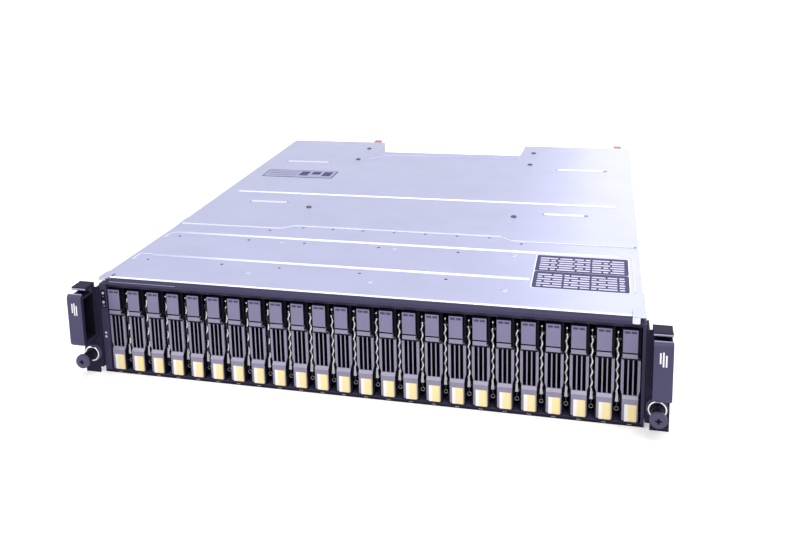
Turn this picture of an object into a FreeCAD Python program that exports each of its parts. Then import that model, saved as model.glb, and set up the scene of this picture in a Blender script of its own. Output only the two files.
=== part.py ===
import FreeCAD, Part
import math
import os
import re
import Sketcher

os.makedirs("parts", exist_ok=True)
doc = FreeCAD.newDocument("disk_enclosure")
sheet = doc.addObject("Spreadsheet::Sheet", "dims")

BAYS = 24
SIDES = {"left": -1, "right": 1}

SIZES = {
    # Whole enclosure
    "chassis_depth": 556,
    "chassis_height": 86.8,
    "pan_sheet": 1.2,
    "cover_sheet": 1.0,
    "ridge_height": 1.0,
    "wall_flange": 10,
    "rack_width": 482.4,
    "ear_width": 17.4,
    "slide_gap": 0.3,
    # Disk bays
    "lane_gap": 0.2,
    "left_column": 6.3,
    "sled_spacing": 3.2,
    "carrier_floor": 3.1,
    "carrier_headroom": 9.9,
    # Front frame
    "frame_depth": 14,
    "right_column": 2.5,
    "rail_gap": 0.4,
    "lip_height": 5.2,
    "lip_depth": 3.4,
    "lip_face": 2.2,
    "lip_mitre": 4.6,
    "lip_left_inset": 6.6,
    "lip_right_inset": 10,
    "recess_depth": 4,
    # Front top panel
    "ridge_base": 7,
    "ridge_top": 3,
    "front_ridge": 68.5,
    "middle_ridge": 135.5,
    "ridge_inset": 16,
    "front_ridge_end": 135,
    "panel_gap": 0.1,
    "panel_end": 179.5,
    "panel_inset": 2,
    "hole_steps": 7.386,
    "hole_line": 169,
    "side_hole_line": 156,
    "small_hole": 1.4,
    "dimple_line": 123.4,
    "front_dimple_line": 54.5,
    # Rear top cover
    "lap_start": 163,
    "jog_depth": 10.5,
    "jog_reach": 18.6,
    "jog_slope": 11.5,
    "lap_length": 17,
    "joggle": 2,
    "rear_ridge": 290.4,
    "notch_depth": 58,
    "notch_margin": 2.4,
    "notch_flare": 2.5,
    "notch_corner": 6,
    "rim_width": 16,
    "rim_height": 0.7,
    "slot_sink": 1.0,
    "slot_radius": 4,
    "front_slot_line": 252.6,
    "front_slot_shift": -2.55,
    "front_slot_reach": 17.9,
    "rear_slot_back": 121,
    "rear_slot_shift": 8.25,
    "rear_slot_reach": 24.6,
    "screw_inset": 11.5,
    "screw_line_front": 239.5,
    "screw_back_middle": 100,
    "screw_back_rear": 39.6,
    "screw_radius": 1.4,
    "screw_head": 2.9,
    "screw_head_height": 0.8,
    "screw_length": 3,
    "screw_slack": 0.15,
    # Carrier sled, disk and contact spring
    "sled_end": 128,
    "block_side": 2.3,
    "sled_rail": 2,
    "block_front": 4.3,
    "block_back": 12,
    "cheek_front": 0.8,
    "cheek_height": 9,
    "fit": 0.3,
    "well_end": 10,
    "disk_start": 24,
    "disk_length": 100.5,
    "disk_side_gap": 0.3,
    "disk_rail_gap": 0.1,
    "spring_reach": 3.4,
    "spring_sheet": 1.6,
    "spring_front": 5,
    "spring_back": 9.5,
    "spring_low": 14,
    "spring_high": 9,
    "spring_foot": 2,
    # Carrier button and handle
    "tile_height": 17.95,
    "tile_side": 1.55,
    "tile_shift": 0.7,
    "tile_drop": 0.25,
    "tile_depth": 7.4,
    "bar_gap": 1.0,
    "bar_height": 3.4,
    "foot_side": 1.15,
    "grille_rail": 2.1,
    "handle_plate": 2,
    "handle_sink": 1.8,
    "shoulder_drop": 1.8,
    "grille_low": 20.7,
    "taper_high": 25,
    "ledge_low": 18.4,
    "pivot_radius": 3,
    "pivot_rise": 4.4,
    "foot_front": 3.3,
    "foot_drop": 4.2,
    "foot_corner": 1.5,
    "foot_heel": 1.2,
    "pin_radius": 1,
    "pin_slack": 0.05,
    "grille_bar": 1.05,
    # Guide plates and midplane
    "guide_sheet": 1.5,
    "guide_rib": 1.6,
    "guide_rib_height": 3.2,
    "guide_end": 132,
    "board_front": 138,
    "board_sheet": 2.4,
    "board_margin": 4,
    "plug_half": 2.5,
    "plug_low": 22,
    "plug_high": 60,
    "vent_width": 36,
    "vent_height": 13,
    "vent_pitch": 52,
    "module_plug_half": 20,
    "module_plug_height": 14,
    # Rack ears and thumbscrews
    "ear_sheet": 1.8,
    "flange_front": 3,
    "ear_gap": 0.2,
    "web_end": 70,
    "web_drop": 7.8,
    "web_low": 5.5,
    "ear_low": 0.1,
    "ear_drop": 3.6,
    "ear_cover_drop": 7.3,
    "ear_cover_width": 13.6,
    "ear_cover_low": 33,
    "ear_cover_depth": 22,
    "ear_wall": 2,
    "ear_bevel": 2.5,
    "ear_tab_depth": 13,
    "ear_tab_sheet": 2.7,
    "ear_lip": 1.5,
    "ear_trough": 3,
    "ear_stalk": 4,
    "rack_hole_inset": 8.65,
    "thumb_height": 18.6,
    "thumb_radius": 6.2,
    "thumb_length": 18,
    "thumb_neck": 2.3,
    "thumb_shank": 2.5,
    "thumb_reach": 12,
    "ferrule_radius": 7.8,
    "ferrule_height": 2.6,
    "ferrule_bore": 2.8,
    # Indicator lights
    "light_radius": 1.35,
    "light_proud": 0.3,
    "light_depth": 6,
    "light_one": 13.8,
    "light_two": 22.1,
    "light_three": 25.6,
    "light_four": 50.2,
    "light_five": 53.7,
    "light_slack": 0.05,
    # Rear bays
    "module_front": 156,
    "bay_sheet": 1.2,
    "bay_flange": 24,
    "shelf_sheet": 1,
    "shelf_lip": 6,
    "side_gap": 0.6,
    # Power modules
    "case_sheet": 1.2,
    "panel_sheet": 2,
    "psu_headroom": 1.6,
    "psu_width": 124.9,
    "fan_rim": 5.25,
    "fan_gap": 2,
    "tip_gap": 2,
    "shroud_wall": 2,
    "shroud_depth": 24,
    "guard_bar": 3,
    "guard_boss": 9,
    "shaft_radius": 3,
    "shaft_slack": 0.05,
    "hub_radius": 12,
    "hub_depth": 16,
    "blade_root_half": 4.2,
    "blade_tip_half": 6.5,
    "blade_sheet": 1.6,
    "inlet_half_width": 9.7,
    "inlet_half_height": 13.7,
    "inlet_flange": 2.3,
    "inlet_wall": 1.7,
    "inlet_depth": 20,
    "inlet_floor": 4,
    "inlet_corner": 4,
    "inlet_side": 13.45,
    "inlet_z": 30,
    "pull_half": 5,
    "pull_side": 11.45,
    "pull_low": 10,
    "pull_gap": 5,
    "pull_reach": 30,
    "pull_bar": 6,
    "latch_half": 4.5,
    "latch_side": 12.45,
    "latch_drop": 3.3,
    "latch_height": 18.5,
    "latch_reach": 24,
    "latch_stem": 3,
    "latch_plate": 8,
    "latch_travel": 4,
    # Controller modules
    "port_x": 10,
    "port_width": 17,
    "port_pitch": 20,
    "port_height": 8.4,
    "port_low": 18,
    "port_wall": 1.6,
    "port_depth": 27,
    "port_pocket": 16,
    "port_proud": 0.8,
    "lever_stand": 6,
    "lever_side": 11.4,
    "lever_half": 3.4,
    "lever_corner": 1.4,
    "lever_length": 66,
    "lever_low": 3.2,
    "lever_high": 10.6,
    "lug_sheet": 1.6,
    "lug_half": 5,
    "lug_gap": 0.4,
    "lever_pin": 2,
}
# Sizes that follow from the sizes above, so that neighbours keep clear of each other
DERIVED = {
    "frame_half": "rack_width / 2 - ear_width",
    "wall_inside": "frame_half - right_column",
    "bay_row": "frame_half * 2 - left_column - right_column",
    "bay_pitch": f"(bay_row + sled_spacing - lane_gap * 2) / {BAYS}",
    "bay_offset": "(left_column - right_column) / 2",
    "sled_width": "bay_pitch - sled_spacing",
    "block_half": "bay_pitch / 2 - block_side",
    "tile_half": "block_half - tile_side",
    "foot_half": "block_half - foot_side",
    "window_half": "block_half - grille_rail",
    "grille_slot": "(window_half - grille_bar) * 2 / 3",
    "hole_pitch": "frame_half / hole_steps",
    "psu_x": "wall_inside - side_gap - psu_width / 2",
    "controller_half": "wall_inside - side_gap * 3 - psu_width - bay_sheet",
    "jog_outer": "controller_half + jog_reach",
    "jog_inner": "jog_outer - jog_slope",
    "notch_front": "controller_half - notch_margin",
    "notch_back": "notch_front + notch_flare",
    "lever_x": "controller_half - lever_side",
    "psu_floor": "pan_sheet + slide_gap",
    "psu_roof": "chassis_height - ridge_height - cover_sheet - bay_sheet - psu_headroom",
    "inlet_x": "psu_width / 2 - inlet_side",
    "inlet_edge": "inlet_x - inlet_half_width - inlet_flange",
    "pull_x": "psu_width / 2 - pull_side",
    "latch_x": "psu_width / 2 - latch_side",
    "latch_edge": "latch_x - latch_stem - latch_travel",
    "latch_high": "chassis_height - latch_drop",
    "latch_low": "latch_high - latch_height",
    "pull_high": "latch_low - pull_gap",
    "fan_tall": "(psu_roof - psu_floor) / 2 - fan_rim",
    "fan_wide": "(inlet_edge + latch_edge) / 2 - fan_gap - shroud_wall",
    "fan_opening": "min(fan_tall; fan_wide)",
    "fan_x": "fan_opening + shroud_wall + fan_gap - inlet_edge",
    "blade_tip": "fan_opening - tip_gap",
    "ear_high": "chassis_height - ear_drop",
    "ear_cover_high": "chassis_height - ear_cover_drop",
    "web_high": "chassis_height - web_drop",
}
CELLS = dict(SIZES)
CELLS.update({name: "=" + formula for name, formula in DERIVED.items()})
for row, (name, content) in enumerate(CELLS.items(), start=1):
    sheet.set(f"A{row}", name)
    sheet.set(f"B{row}", str(content))
    sheet.setAlias(f"B{row}", name)
doc.recompute()


def bound(text):
    """Write a formula with every size taken from the sheet."""
    return re.sub(r"[a-z_]+", lambda found: "dims." + found.group(), str(text))


def number(text):
    """Work a formula out once."""
    return float(sheet.evalExpression(bound(text)))


def bind(item, **formulas):
    """Bind properties of an object; the first underscores stand for dots."""
    for place, formula in formulas.items():
        item.setExpression(place.replace("_", "."), bound(formula))


def put(item, x="0", y="0", z="0"):
    """Bind the place of an object."""
    bind(item, Placement_Base_x=x, Placement_Base_y=y, Placement_Base_z=z)
    return item


def rectangle(x_low, x_high, y_low, y_high):
    return [(x_low, y_low), (x_high, y_low), (x_high, y_high), (x_low, y_high)]


def disc(x, y, radius):
    return ("disc", x, y, radius)


def eight_sided(x, y, radius, reach="0"):
    """Outline a small hole or a long slot with eight sides."""
    corner = f"({radius}) * 0.4142"
    wide, narrow = f"{reach} + {radius}", f"{reach} + {corner}"
    return [
        (f"{x} + {wide}", f"{y} - {corner}"),
        (f"{x} + {wide}", f"{y} + {corner}"),
        (f"{x} + {narrow}", f"{y} + {radius}"),
        (f"{x} - ({narrow})", f"{y} + {radius}"),
        (f"{x} - ({wide})", f"{y} + {corner}"),
        (f"{x} - ({wide})", f"{y} - {corner}"),
        (f"{x} - ({narrow})", f"{y} - ({radius})"),
        (f"{x} + {narrow}", f"{y} - ({radius})"),
    ]


def many_sided(radius, sides):
    """Outline a round shape about the origin with flat sides."""
    corners = []
    for index in range(sides):
        angle = math.radians((index + 0.5) * 360 / sides)
        corners.append((f"{radius} * {math.cos(angle):.4f}", f"{radius} * {math.sin(angle):.4f}"))
    return corners


def pin_point(sketch, geometry, position, x, y):
    """Hold one point of a sketch at bound coordinates."""
    for kind, formula in (("DistanceX", x), ("DistanceY", y)):
        held = Sketcher.Constraint(kind, -1, 1, geometry, position, number(formula))
        index = sketch.addConstraint(held)
        sketch.setExpression(f"Constraints[{index}]", bound(formula))


def hold_radius(sketch, geometry, radius):
    index = sketch.addConstraint(Sketcher.Constraint("Radius", geometry, number(radius)))
    sketch.setExpression(f"Constraints[{index}]", bound(radius))


def draw_polygon(sketch, points):
    first = sketch.GeometryCount
    count = len(points)
    spots = [FreeCAD.Vector(number(x), number(y), 0) for x, y in points]
    for index, spot in enumerate(spots):
        sketch.addGeometry(Part.LineSegment(spot, spots[(index + 1) % count]))
    for index in range(count):
        following = first + (index + 1) % count
        sketch.addConstraint(Sketcher.Constraint("Coincident", first + index, 2, following, 1))
    for index, (x, y) in enumerate(points):
        pin_point(sketch, first + index, 1, x, y)


def draw_disc(sketch, x, y, radius):
    centre = FreeCAD.Vector(number(x), number(y), 0)
    circle = Part.Circle(centre, FreeCAD.Vector(0, 0, 1), number(radius))
    index = sketch.addGeometry(circle)
    pin_point(sketch, index, 3, x, y)
    hold_radius(sketch, index, radius)


def new_body(label):
    body = doc.addObject("PartDesign::Body", label)
    body.Label = label
    return body


def origin_part(body, role):
    return next(item for item in body.Origin.OriginFeatures if item.Role == role)


def new_sketch(body, plane, loops, start):
    """Draw closed loops on one of the body's own planes, moved along its positive axis."""
    sketch = body.newObject("Sketcher::SketchObject", "outline")
    sketch.AttachmentSupport = (origin_part(body, plane + "_Plane"), "")
    sketch.MapMode = "FlatFace"
    offset = f"0 - ({start})" if plane == "XZ" else start
    bind(sketch, AttachmentOffset_Base_z=offset)
    for loop in loops:
        if loop[0] == "disc":
            draw_disc(sketch, *loop[1:])
        else:
            draw_polygon(sketch, loop)
    return sketch


def pad(body, plane, loops, start, end):
    """Add material between two levels along the axis across the plane."""
    sketch = new_sketch(body, plane, loops, start)
    feature = body.newObject("PartDesign::Pad", "pad")
    feature.Profile = sketch
    feature.Reversed = plane == "XZ"
    bind(feature, Length=f"({end}) - ({start})")
    return feature


def pocket(body, plane, loops, start, end):
    """Take material away between two levels along the axis across the plane."""
    sketch = new_sketch(body, plane, loops, start)
    feature = body.newObject("PartDesign::Pocket", "pocket")
    feature.Profile = sketch
    feature.Reversed = plane != "XZ"
    bind(feature, Length=f"({end}) - ({start})")
    return feature


def pockets(body, plane, loops, start, end):
    """Take each outline away as a feature of its own."""
    for loop in loops:
        pocket(body, plane, [loop], start, end)


def row_along_x(body, feature, length, count):
    """Repeat a feature in a row along X."""
    row = body.newObject("PartDesign::LinearPattern", "row")
    row.Originals = [feature]
    row.Direction = (origin_part(body, "X_Axis"), [""])
    bind(row, Length=length)
    row.Occurrences = count
    body.Tip = row
    return row


def turn(body, points):
    """Turn a half outline, given as radius and Y, about the Y axis."""
    sketch = new_sketch(body, "XY", [points], "0")
    feature = body.newObject("PartDesign::Revolution", "turned")
    feature.Profile = sketch
    feature.ReferenceAxis = (origin_part(body, "Y_Axis"), [""])
    feature.Angle = 360
    return feature


def block(label, x_low, x_high, y_low, y_high, z_low, z_high):
    box = doc.addObject("Part::Box", label)
    bind(box, Length=f"({x_high}) - ({x_low})", Width=f"({y_high}) - ({y_low})")
    bind(box, Height=f"({z_high}) - ({z_low})")
    return put(box, x_low, y_low, z_low)


def rod(label, axis, radius, x, y, z, length):
    """Make a round rod that runs from a point along one positive axis."""
    turns = {"X": (FreeCAD.Vector(0, 1, 0), 90), "Y": (FreeCAD.Vector(1, 0, 0), -90)}
    item = doc.addObject("Part::Cylinder", label)
    if axis in turns:
        item.Placement = FreeCAD.Placement(FreeCAD.Vector(), FreeCAD.Rotation(*turns[axis]))
    bind(item, Radius=radius, Height=length)
    return put(item, x, y, z)


def eight_sided_rod(label, radius, x, y, z, length):
    """Make a rod with eight sides that runs from a point along Y."""
    item = doc.addObject("Part::Prism", label)
    item.Polygon = 8
    item.Placement = FreeCAD.Placement(FreeCAD.Vector(), FreeCAD.Rotation(FreeCAD.Vector(1, 0, 0), -90))
    bind(item, Circumradius=radius, Height=length)
    return put(item, x, y, z)


def joined(label, items):
    fusion = doc.addObject("Part::MultiFuse", label)
    fusion.Shapes = items
    return fusion


def cut(label, base, tool):
    result = doc.addObject("Part::Cut", label)
    result.Base = base
    result.Tool = tool
    return result


def group(label, items, x="0", y="0", z="0"):
    """Gather solids, each still its own, into one piece."""
    gathered = doc.addObject("Part::Compound", label)
    gathered.Label = label
    gathered.Links = items
    return put(gathered, x, y, z)


NODES = []


def keep(item, label):
    """Name a finished piece."""
    item.Label = label
    NODES.append(item)
    return item


# Shared levels, measured from the centre of the pan's bottom
FRONT = "(0 - chassis_depth / 2)"
REAR = "(chassis_depth / 2)"
FRAME_HALF = "frame_half"
WALL_INSIDE = "wall_inside"
OPENING_RIGHT = "wall_inside"
OPENING_LEFT = "(left_column - frame_half)"
PAN_HALF = f"({WALL_INSIDE} + pan_sheet)"
COVER_TOP = "(chassis_height - ridge_height)"
COVER_UNDER = f"({COVER_TOP} - cover_sheet)"
CARRIER_TOP = "(chassis_height - carrier_headroom)"
SHOULDER = "(chassis_height - lip_height)"
BAY_WALL_IN = "(controller_half + side_gap)"
BAY_WALL_OUT = f"({BAY_WALL_IN} + bay_sheet)"
SCREW_X = f"({BAY_WALL_OUT} + screw_inset)"


def from_front(distance):
    return f"({FRONT} + {distance})"


# Base pan: a floor, two walls and inward flanges that carry the covers
pan = new_body("base_pan")
pan_outline = [
    (f"0 - {PAN_HALF}", "0"),
    (PAN_HALF, "0"),
    (PAN_HALF, COVER_UNDER),
    (f"{PAN_HALF} - wall_flange", COVER_UNDER),
    (f"{PAN_HALF} - wall_flange", f"{COVER_UNDER} - pan_sheet"),
    (WALL_INSIDE, f"{COVER_UNDER} - pan_sheet"),
    (WALL_INSIDE, "pan_sheet"),
    (f"0 - {WALL_INSIDE}", "pan_sheet"),
    (f"0 - {WALL_INSIDE}", f"{COVER_UNDER} - pan_sheet"),
    (f"wall_flange - {PAN_HALF}", f"{COVER_UNDER} - pan_sheet"),
    (f"wall_flange - {PAN_HALF}", COVER_UNDER),
    (f"0 - {PAN_HALF}", COVER_UNDER),
]
pad(pan, "XZ", [pan_outline], from_front("frame_depth"), REAR)
keep(pan, "base_pan")


def sheet_outline(top_points):
    """Close a line of top points with the same line one sheet lower."""
    under = [(y, f"{z} - cover_sheet") for y, z in reversed(top_points)]
    return top_points + under


def press_ridge(body, line, left, right):
    """Press a ridge up along X and leave it hollow below."""
    for base, press, margin in ((COVER_TOP, pad, "0"), (COVER_UNDER, pocket, "cover_sheet")):
        section = [
            (from_front(f"{line} - ridge_base / 2"), base),
            (from_front(f"{line} - ridge_top / 2"), f"{base} + ridge_height"),
            (from_front(f"{line} + ridge_top / 2"), f"{base} + ridge_height"),
            (from_front(f"{line} + ridge_base / 2"), base),
        ]
        press(body, "YZ", [section], f"{left} + {margin}", f"{right} - {margin}")


PANEL_HALF = f"({PAN_HALF} - panel_inset)"
RIDGE_HALF = f"({PANEL_HALF} - ridge_inset)"

# Front top panel over the disk bays
panel = new_body("bay_top_panel")
panel_edge = rectangle(
    f"0 - {PANEL_HALF}",
    PANEL_HALF,
    from_front("lip_depth + panel_gap"),
    from_front("panel_end"),
)
pad(panel, "XY", [panel_edge], COVER_UNDER, COVER_TOP)
press_ridge(panel, "front_ridge", f"0 - {RIDGE_HALF}", "front_ridge_end")
press_ridge(panel, "middle_ridge", f"0 - {RIDGE_HALF}", RIDGE_HALF)
panel_holes = []
for step in range(-3, 4):
    panel_holes.append(eight_sided(f"hole_pitch * {step}", from_front("hole_line"), "small_hole"))
for step in (-4, 4):
    panel_holes.append(eight_sided(f"hole_pitch * {step}", from_front("side_hole_line"), "small_hole"))
for step in (-6.7, -4.33, -2.5, -0.15, 2.25):
    panel_holes.append(eight_sided(f"hole_pitch * {step}", from_front("dimple_line"), "small_hole"))
for step in (-4.33, 2.25):
    panel_holes.append(eight_sided(f"hole_pitch * {step}", from_front("front_dimple_line"), "small_hole"))
pockets(panel, "XY", panel_holes, f"{COVER_UNDER} - 1", f"{COVER_TOP} + 1")
keep(panel, "bay_top_panel")

# Rear top cover: its front edge laps over the front panel
cover = new_body("top_cover")
LAP_END = "(lap_start + lap_length)"
cover_top = [
    (from_front("lap_start"), "chassis_height"),
    (from_front(LAP_END), "chassis_height"),
    (from_front(f"{LAP_END} + joggle"), COVER_TOP),
]
cover_top += [(REAR, COVER_TOP)]
pad(cover, "YZ", [sheet_outline(cover_top)], f"0 - {PANEL_HALF}", PANEL_HALF)
press_ridge(cover, "rear_ridge", f"0 - {RIDGE_HALF}", RIDGE_HALF)
jog = [
    ("0 - jog_outer", from_front("lap_start - 1")),
    ("jog_outer", from_front("lap_start - 1")),
    ("jog_outer", from_front("lap_start")),
    ("jog_inner", from_front("lap_start + jog_depth")),
    ("0 - jog_inner", from_front("lap_start + jog_depth")),
    ("0 - jog_outer", from_front("lap_start")),
]
ABOVE = "chassis_height + 1"
pocket(cover, "XY", [jog], f"{COVER_UNDER} - 1", ABOVE)
NOTCH_START = f"({REAR} - notch_depth)"
rim = rectangle("0 - notch_front", "notch_front", f"{NOTCH_START} - rim_width", f"{NOTCH_START} + 1")
pad(cover, "XY", [rim], f"{COVER_TOP} - cover_sheet / 2", f"{COVER_TOP} + rim_height")
notch = [
    ("0 - notch_back", f"{REAR} + 1"),
    ("0 - notch_front", f"{NOTCH_START} + notch_corner"),
    ("notch_corner - notch_front", NOTCH_START),
    ("notch_front - notch_corner", NOTCH_START),
    ("notch_front", f"{NOTCH_START} + notch_corner"),
    ("notch_back", f"{REAR} + 1"),
]
pocket(cover, "XY", [notch], f"{COVER_UNDER} - 1", ABOVE)
sunk = []
swell = []
SLOT_LINES = {"front_slot": from_front("front_slot_line"), "rear_slot": f"({REAR} - rear_slot_back)"}
for sign in SIDES.values():
    for line, place in SLOT_LINES.items():
        spot = (f"(psu_x + {line}_shift) * {sign}", place)
        sunk.append(eight_sided(*spot, "slot_radius", f"{line}_reach"))
        swell.append(eight_sided(*spot, "slot_radius + cover_sheet", f"{line}_reach"))
for loop in swell:
    pad(cover, "XY", [loop], f"{COVER_UNDER} - slot_sink", f"{COVER_UNDER} + cover_sheet / 2")
pockets(cover, "XY", sunk, f"{COVER_UNDER} - slot_sink + cover_sheet", ABOVE)
SCREW_LINES = (
    from_front("screw_line_front"),
    f"({REAR} - screw_back_middle)",
    f"({REAR} - screw_back_rear)",
)
screw_holes = []
for sign in SIDES.values():
    for line in SCREW_LINES:
        spot = (f"{SCREW_X} * {sign}", line)
        screw_holes.append(eight_sided(*spot, "screw_radius + screw_slack"))
pockets(cover, "XY", screw_holes, f"{COVER_UNDER} - 1", ABOVE)
keep(cover, "top_cover")

# Cover screws, one shape set at six places
screw = new_body("screw")
pad(screw, "XY", [eight_sided("0", "0", "screw_head")], "0", "screw_head_height")
pad(screw, "XY", [eight_sided("0", "0", "screw_radius")], "0 - screw_length", "screw_head_height / 2")
screws = []
for sign in SIDES.values():
    for line in SCREW_LINES:
        place = (f"{SCREW_X} * {sign}", line, COVER_TOP)
        screws.append(group("cover_screw", [screw], *place))
keep(group("cover_screws", screws), "cover_screws")

# Front frame round the disk bays
frame = new_body("front_frame")
opening = rectangle(OPENING_LEFT, OPENING_RIGHT, "carrier_floor - rail_gap", f"{CARRIER_TOP} + rail_gap")
edge = rectangle(f"0 - {FRAME_HALF}", FRAME_HALF, "0", SHOULDER)
FRAME_BACK = from_front("frame_depth")
pad(frame, "XZ", [edge, opening], FRONT, FRAME_BACK)
lip = [
    (FRONT, f"{SHOULDER} - panel_gap"),
    (FRONT, f"{SHOULDER} + lip_face"),
    (from_front("lip_depth - panel_gap * 4"), "chassis_height"),
    (from_front("lip_depth"), "chassis_height"),
    (from_front("lip_depth"), f"{COVER_UNDER} - panel_gap"),
    (FRAME_BACK, f"{COVER_UNDER} - panel_gap"),
    (FRAME_BACK, f"{SHOULDER} - panel_gap"),
]
LIP_LEFT = f"(lip_left_inset - {FRAME_HALF})"
pad(frame, "YZ", [lip], LIP_LEFT, f"{FRAME_HALF} - lip_right_inset")
mitre = [
    (LIP_LEFT, SHOULDER),
    (f"{LIP_LEFT} + lip_mitre", "chassis_height"),
    (f"{LIP_LEFT} + lip_mitre", ABOVE),
    (f"{LIP_LEFT} - 1", ABOVE),
    (f"{LIP_LEFT} - 1", SHOULDER),
]
pocket(frame, "XZ", [mitre], f"{FRONT} - 1", f"{FRAME_BACK} + 1")
shadow = rectangle(OPENING_LEFT, OPENING_RIGHT, CARRIER_TOP, f"{SHOULDER} - lip_face / 4")
pocket(frame, "XZ", [shadow], FRONT, from_front("recess_depth"))
LIGHT_X = f"((0 - {FRAME_HALF} + {OPENING_LEFT}) / 2)"
LIGHT_DROPS = ("light_one", "light_two", "light_three", "light_four", "light_five")
LIGHT_LEVELS = [f"(chassis_height - {drop})" for drop in LIGHT_DROPS]
light_holes = [eight_sided(LIGHT_X, level, "light_radius + light_slack") for level in LIGHT_LEVELS]
pockets(frame, "XZ", light_holes, FRONT, from_front("light_depth"))
keep(frame, "front_frame")

# Indicator light pipes in the left column
pipes = []
for level in LIGHT_LEVELS:
    pipe = new_body("light_pipe")
    lens = eight_sided(LIGHT_X, level, "light_radius")
    pad(pipe, "XZ", [lens], from_front("0 - light_proud"), from_front("light_depth"))
    pipes.append(pipe)
keep(group("light_pipes", pipes), "light_pipes")

# Guide plates, the lower one with a rib between neighbouring carriers
GUIDE_FRONT = from_front("frame_depth + fit")
GUIDE_BACK = from_front("guide_end")
RIB_HALF_ROW = f"(bay_pitch * {BAYS / 2 - 1})"
RIB_LEFT = f"(bay_offset - {RIB_HALF_ROW} - guide_rib / 2)"
FLOOR_TOP = "(carrier_floor - slide_gap)"
ROOF = f"({CARRIER_TOP} + slide_gap)"
lower = new_body("lower_guide")
lower_plate = rectangle(f"0 - {WALL_INSIDE}", WALL_INSIDE, "pan_sheet", FLOOR_TOP)
pad(lower, "XZ", [lower_plate], GUIDE_FRONT, GUIDE_BACK)
rib = rectangle(RIB_LEFT, f"{RIB_LEFT} + guide_rib", "pan_sheet", f"{FLOOR_TOP} + guide_rib_height")
first_rib = pad(lower, "XZ", [rib], GUIDE_FRONT, GUIDE_BACK)
row_along_x(lower, first_rib, f"{RIB_HALF_ROW} * 2", BAYS - 1)
upper = new_body("upper_guide")
UPPER_HALF = f"({PAN_HALF} - wall_flange - fit)"
upper_outline = [
    (GUIDE_FRONT, ROOF),
    (GUIDE_BACK, ROOF),
    (GUIDE_BACK, COVER_UNDER),
    (f"{GUIDE_BACK} - guide_sheet", COVER_UNDER),
    (f"{GUIDE_BACK} - guide_sheet", f"{ROOF} + guide_sheet"),
    (f"{GUIDE_FRONT} + guide_sheet", f"{ROOF} + guide_sheet"),
    (f"{GUIDE_FRONT} + guide_sheet", COVER_UNDER),
    (GUIDE_FRONT, COVER_UNDER),
]
pad(upper, "YZ", [upper_outline], f"0 - {UPPER_HALF}", UPPER_HALF)
keep(group("drive_guides", [lower, upper]), "drive_guides")

# Midplane board with a row of air windows
board = new_body("midplane_board")
BOARD_HALF = f"({WALL_INSIDE} - wall_flange)"
BOARD_FRONT = from_front("board_front")
BOARD_BACK = from_front("board_front + board_sheet")
board_edge = rectangle(f"0 - {BOARD_HALF}", BOARD_HALF, "pan_sheet", f"{COVER_UNDER} - board_margin")
pad(board, "XZ", [board_edge], BOARD_FRONT, BOARD_BACK)
VENTS = 8
VENT_LEFT = f"(0 - vent_pitch * {(VENTS - 1) / 2} - vent_width / 2)"
VENT_HIGH = f"({COVER_UNDER} - board_margin * 2)"
vent = rectangle(VENT_LEFT, f"{VENT_LEFT} + vent_width", f"{VENT_HIGH} - vent_height", VENT_HIGH)
row_along_x(board, pocket(board, "XZ", [vent], BOARD_FRONT, BOARD_BACK), f"vent_pitch * {VENTS - 1}", VENTS)
keep(board, "midplane_board")


def bay_centre(bay):
    return f"(bay_offset + bay_pitch * {bay - (BAYS + 1) / 2})"


# Connectors on the board: one for each disk, one for each rear module
PSU_HALF = "(psu_width / 2)"
PSU_X = "psu_x"
CONTROLLER_HEIGHT = f"(({COVER_UNDER} - pan_sheet - shelf_sheet - slide_gap * 4) / 2)"
LOWER_FLOOR = "(pan_sheet + slide_gap)"
SHELF_UNDER = f"({LOWER_FLOOR} + {CONTROLLER_HEIGHT} + slide_gap)"
UPPER_FLOOR = f"({SHELF_UNDER} + shelf_sheet + slide_gap)"
DISK_END = "(disk_start + disk_length)"
plugs = []
for bay in range(1, BAYS + 1):
    middle = bay_centre(bay)
    across = (f"{middle} - plug_half", f"{middle} + plug_half")
    along = (from_front(f"{DISK_END} + fit"), BOARD_FRONT)
    plugs.append(block("disk_plug", *across, *along, "plug_low", "plug_high"))
MODULE_PLACES = (
    (f"0 - {PSU_X}", "plug_low"),
    (PSU_X, "plug_low"),
    ("0", f"{LOWER_FLOOR} + {CONTROLLER_HEIGHT} / 2 - module_plug_height / 2"),
    ("0", f"{UPPER_FLOOR} + {CONTROLLER_HEIGHT} / 2 - module_plug_height / 2"),
)
for middle, low in MODULE_PLACES:
    across = (f"{middle} - module_plug_half", f"{middle} + module_plug_half")
    along = (BOARD_BACK, from_front("module_front - fit"))
    plugs.append(block("module_plug", *across, *along, low, f"{low} + module_plug_height"))
keep(group("midplane_connectors", plugs), "midplane_connectors")

# Walls between the rear bays, with flanges under the cover
for side, sign in SIDES.items():
    wall = new_body(f"bay_wall_{side}")
    wall_outline = [
        (f"{BAY_WALL_IN} * {sign}", "pan_sheet"),
        (f"{BAY_WALL_IN} * {sign}", COVER_UNDER),
        (f"({BAY_WALL_IN} + bay_flange) * {sign}", COVER_UNDER),
        (f"({BAY_WALL_IN} + bay_flange) * {sign}", f"{COVER_UNDER} - bay_sheet"),
        (f"{BAY_WALL_OUT} * {sign}", f"{COVER_UNDER} - bay_sheet"),
        (f"{BAY_WALL_OUT} * {sign}", "pan_sheet"),
    ]
    pad(wall, "XZ", [wall_outline], from_front("module_front"), REAR)
    holes = [
        eight_sided(f"{SCREW_X} * {sign}", line, "screw_radius + screw_slack")
        for line in SCREW_LINES
    ]
    pockets(wall, "XY", holes, f"{COVER_UNDER} - bay_sheet - 1", ABOVE)
    keep(wall, f"bay_wall_{side}")

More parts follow.
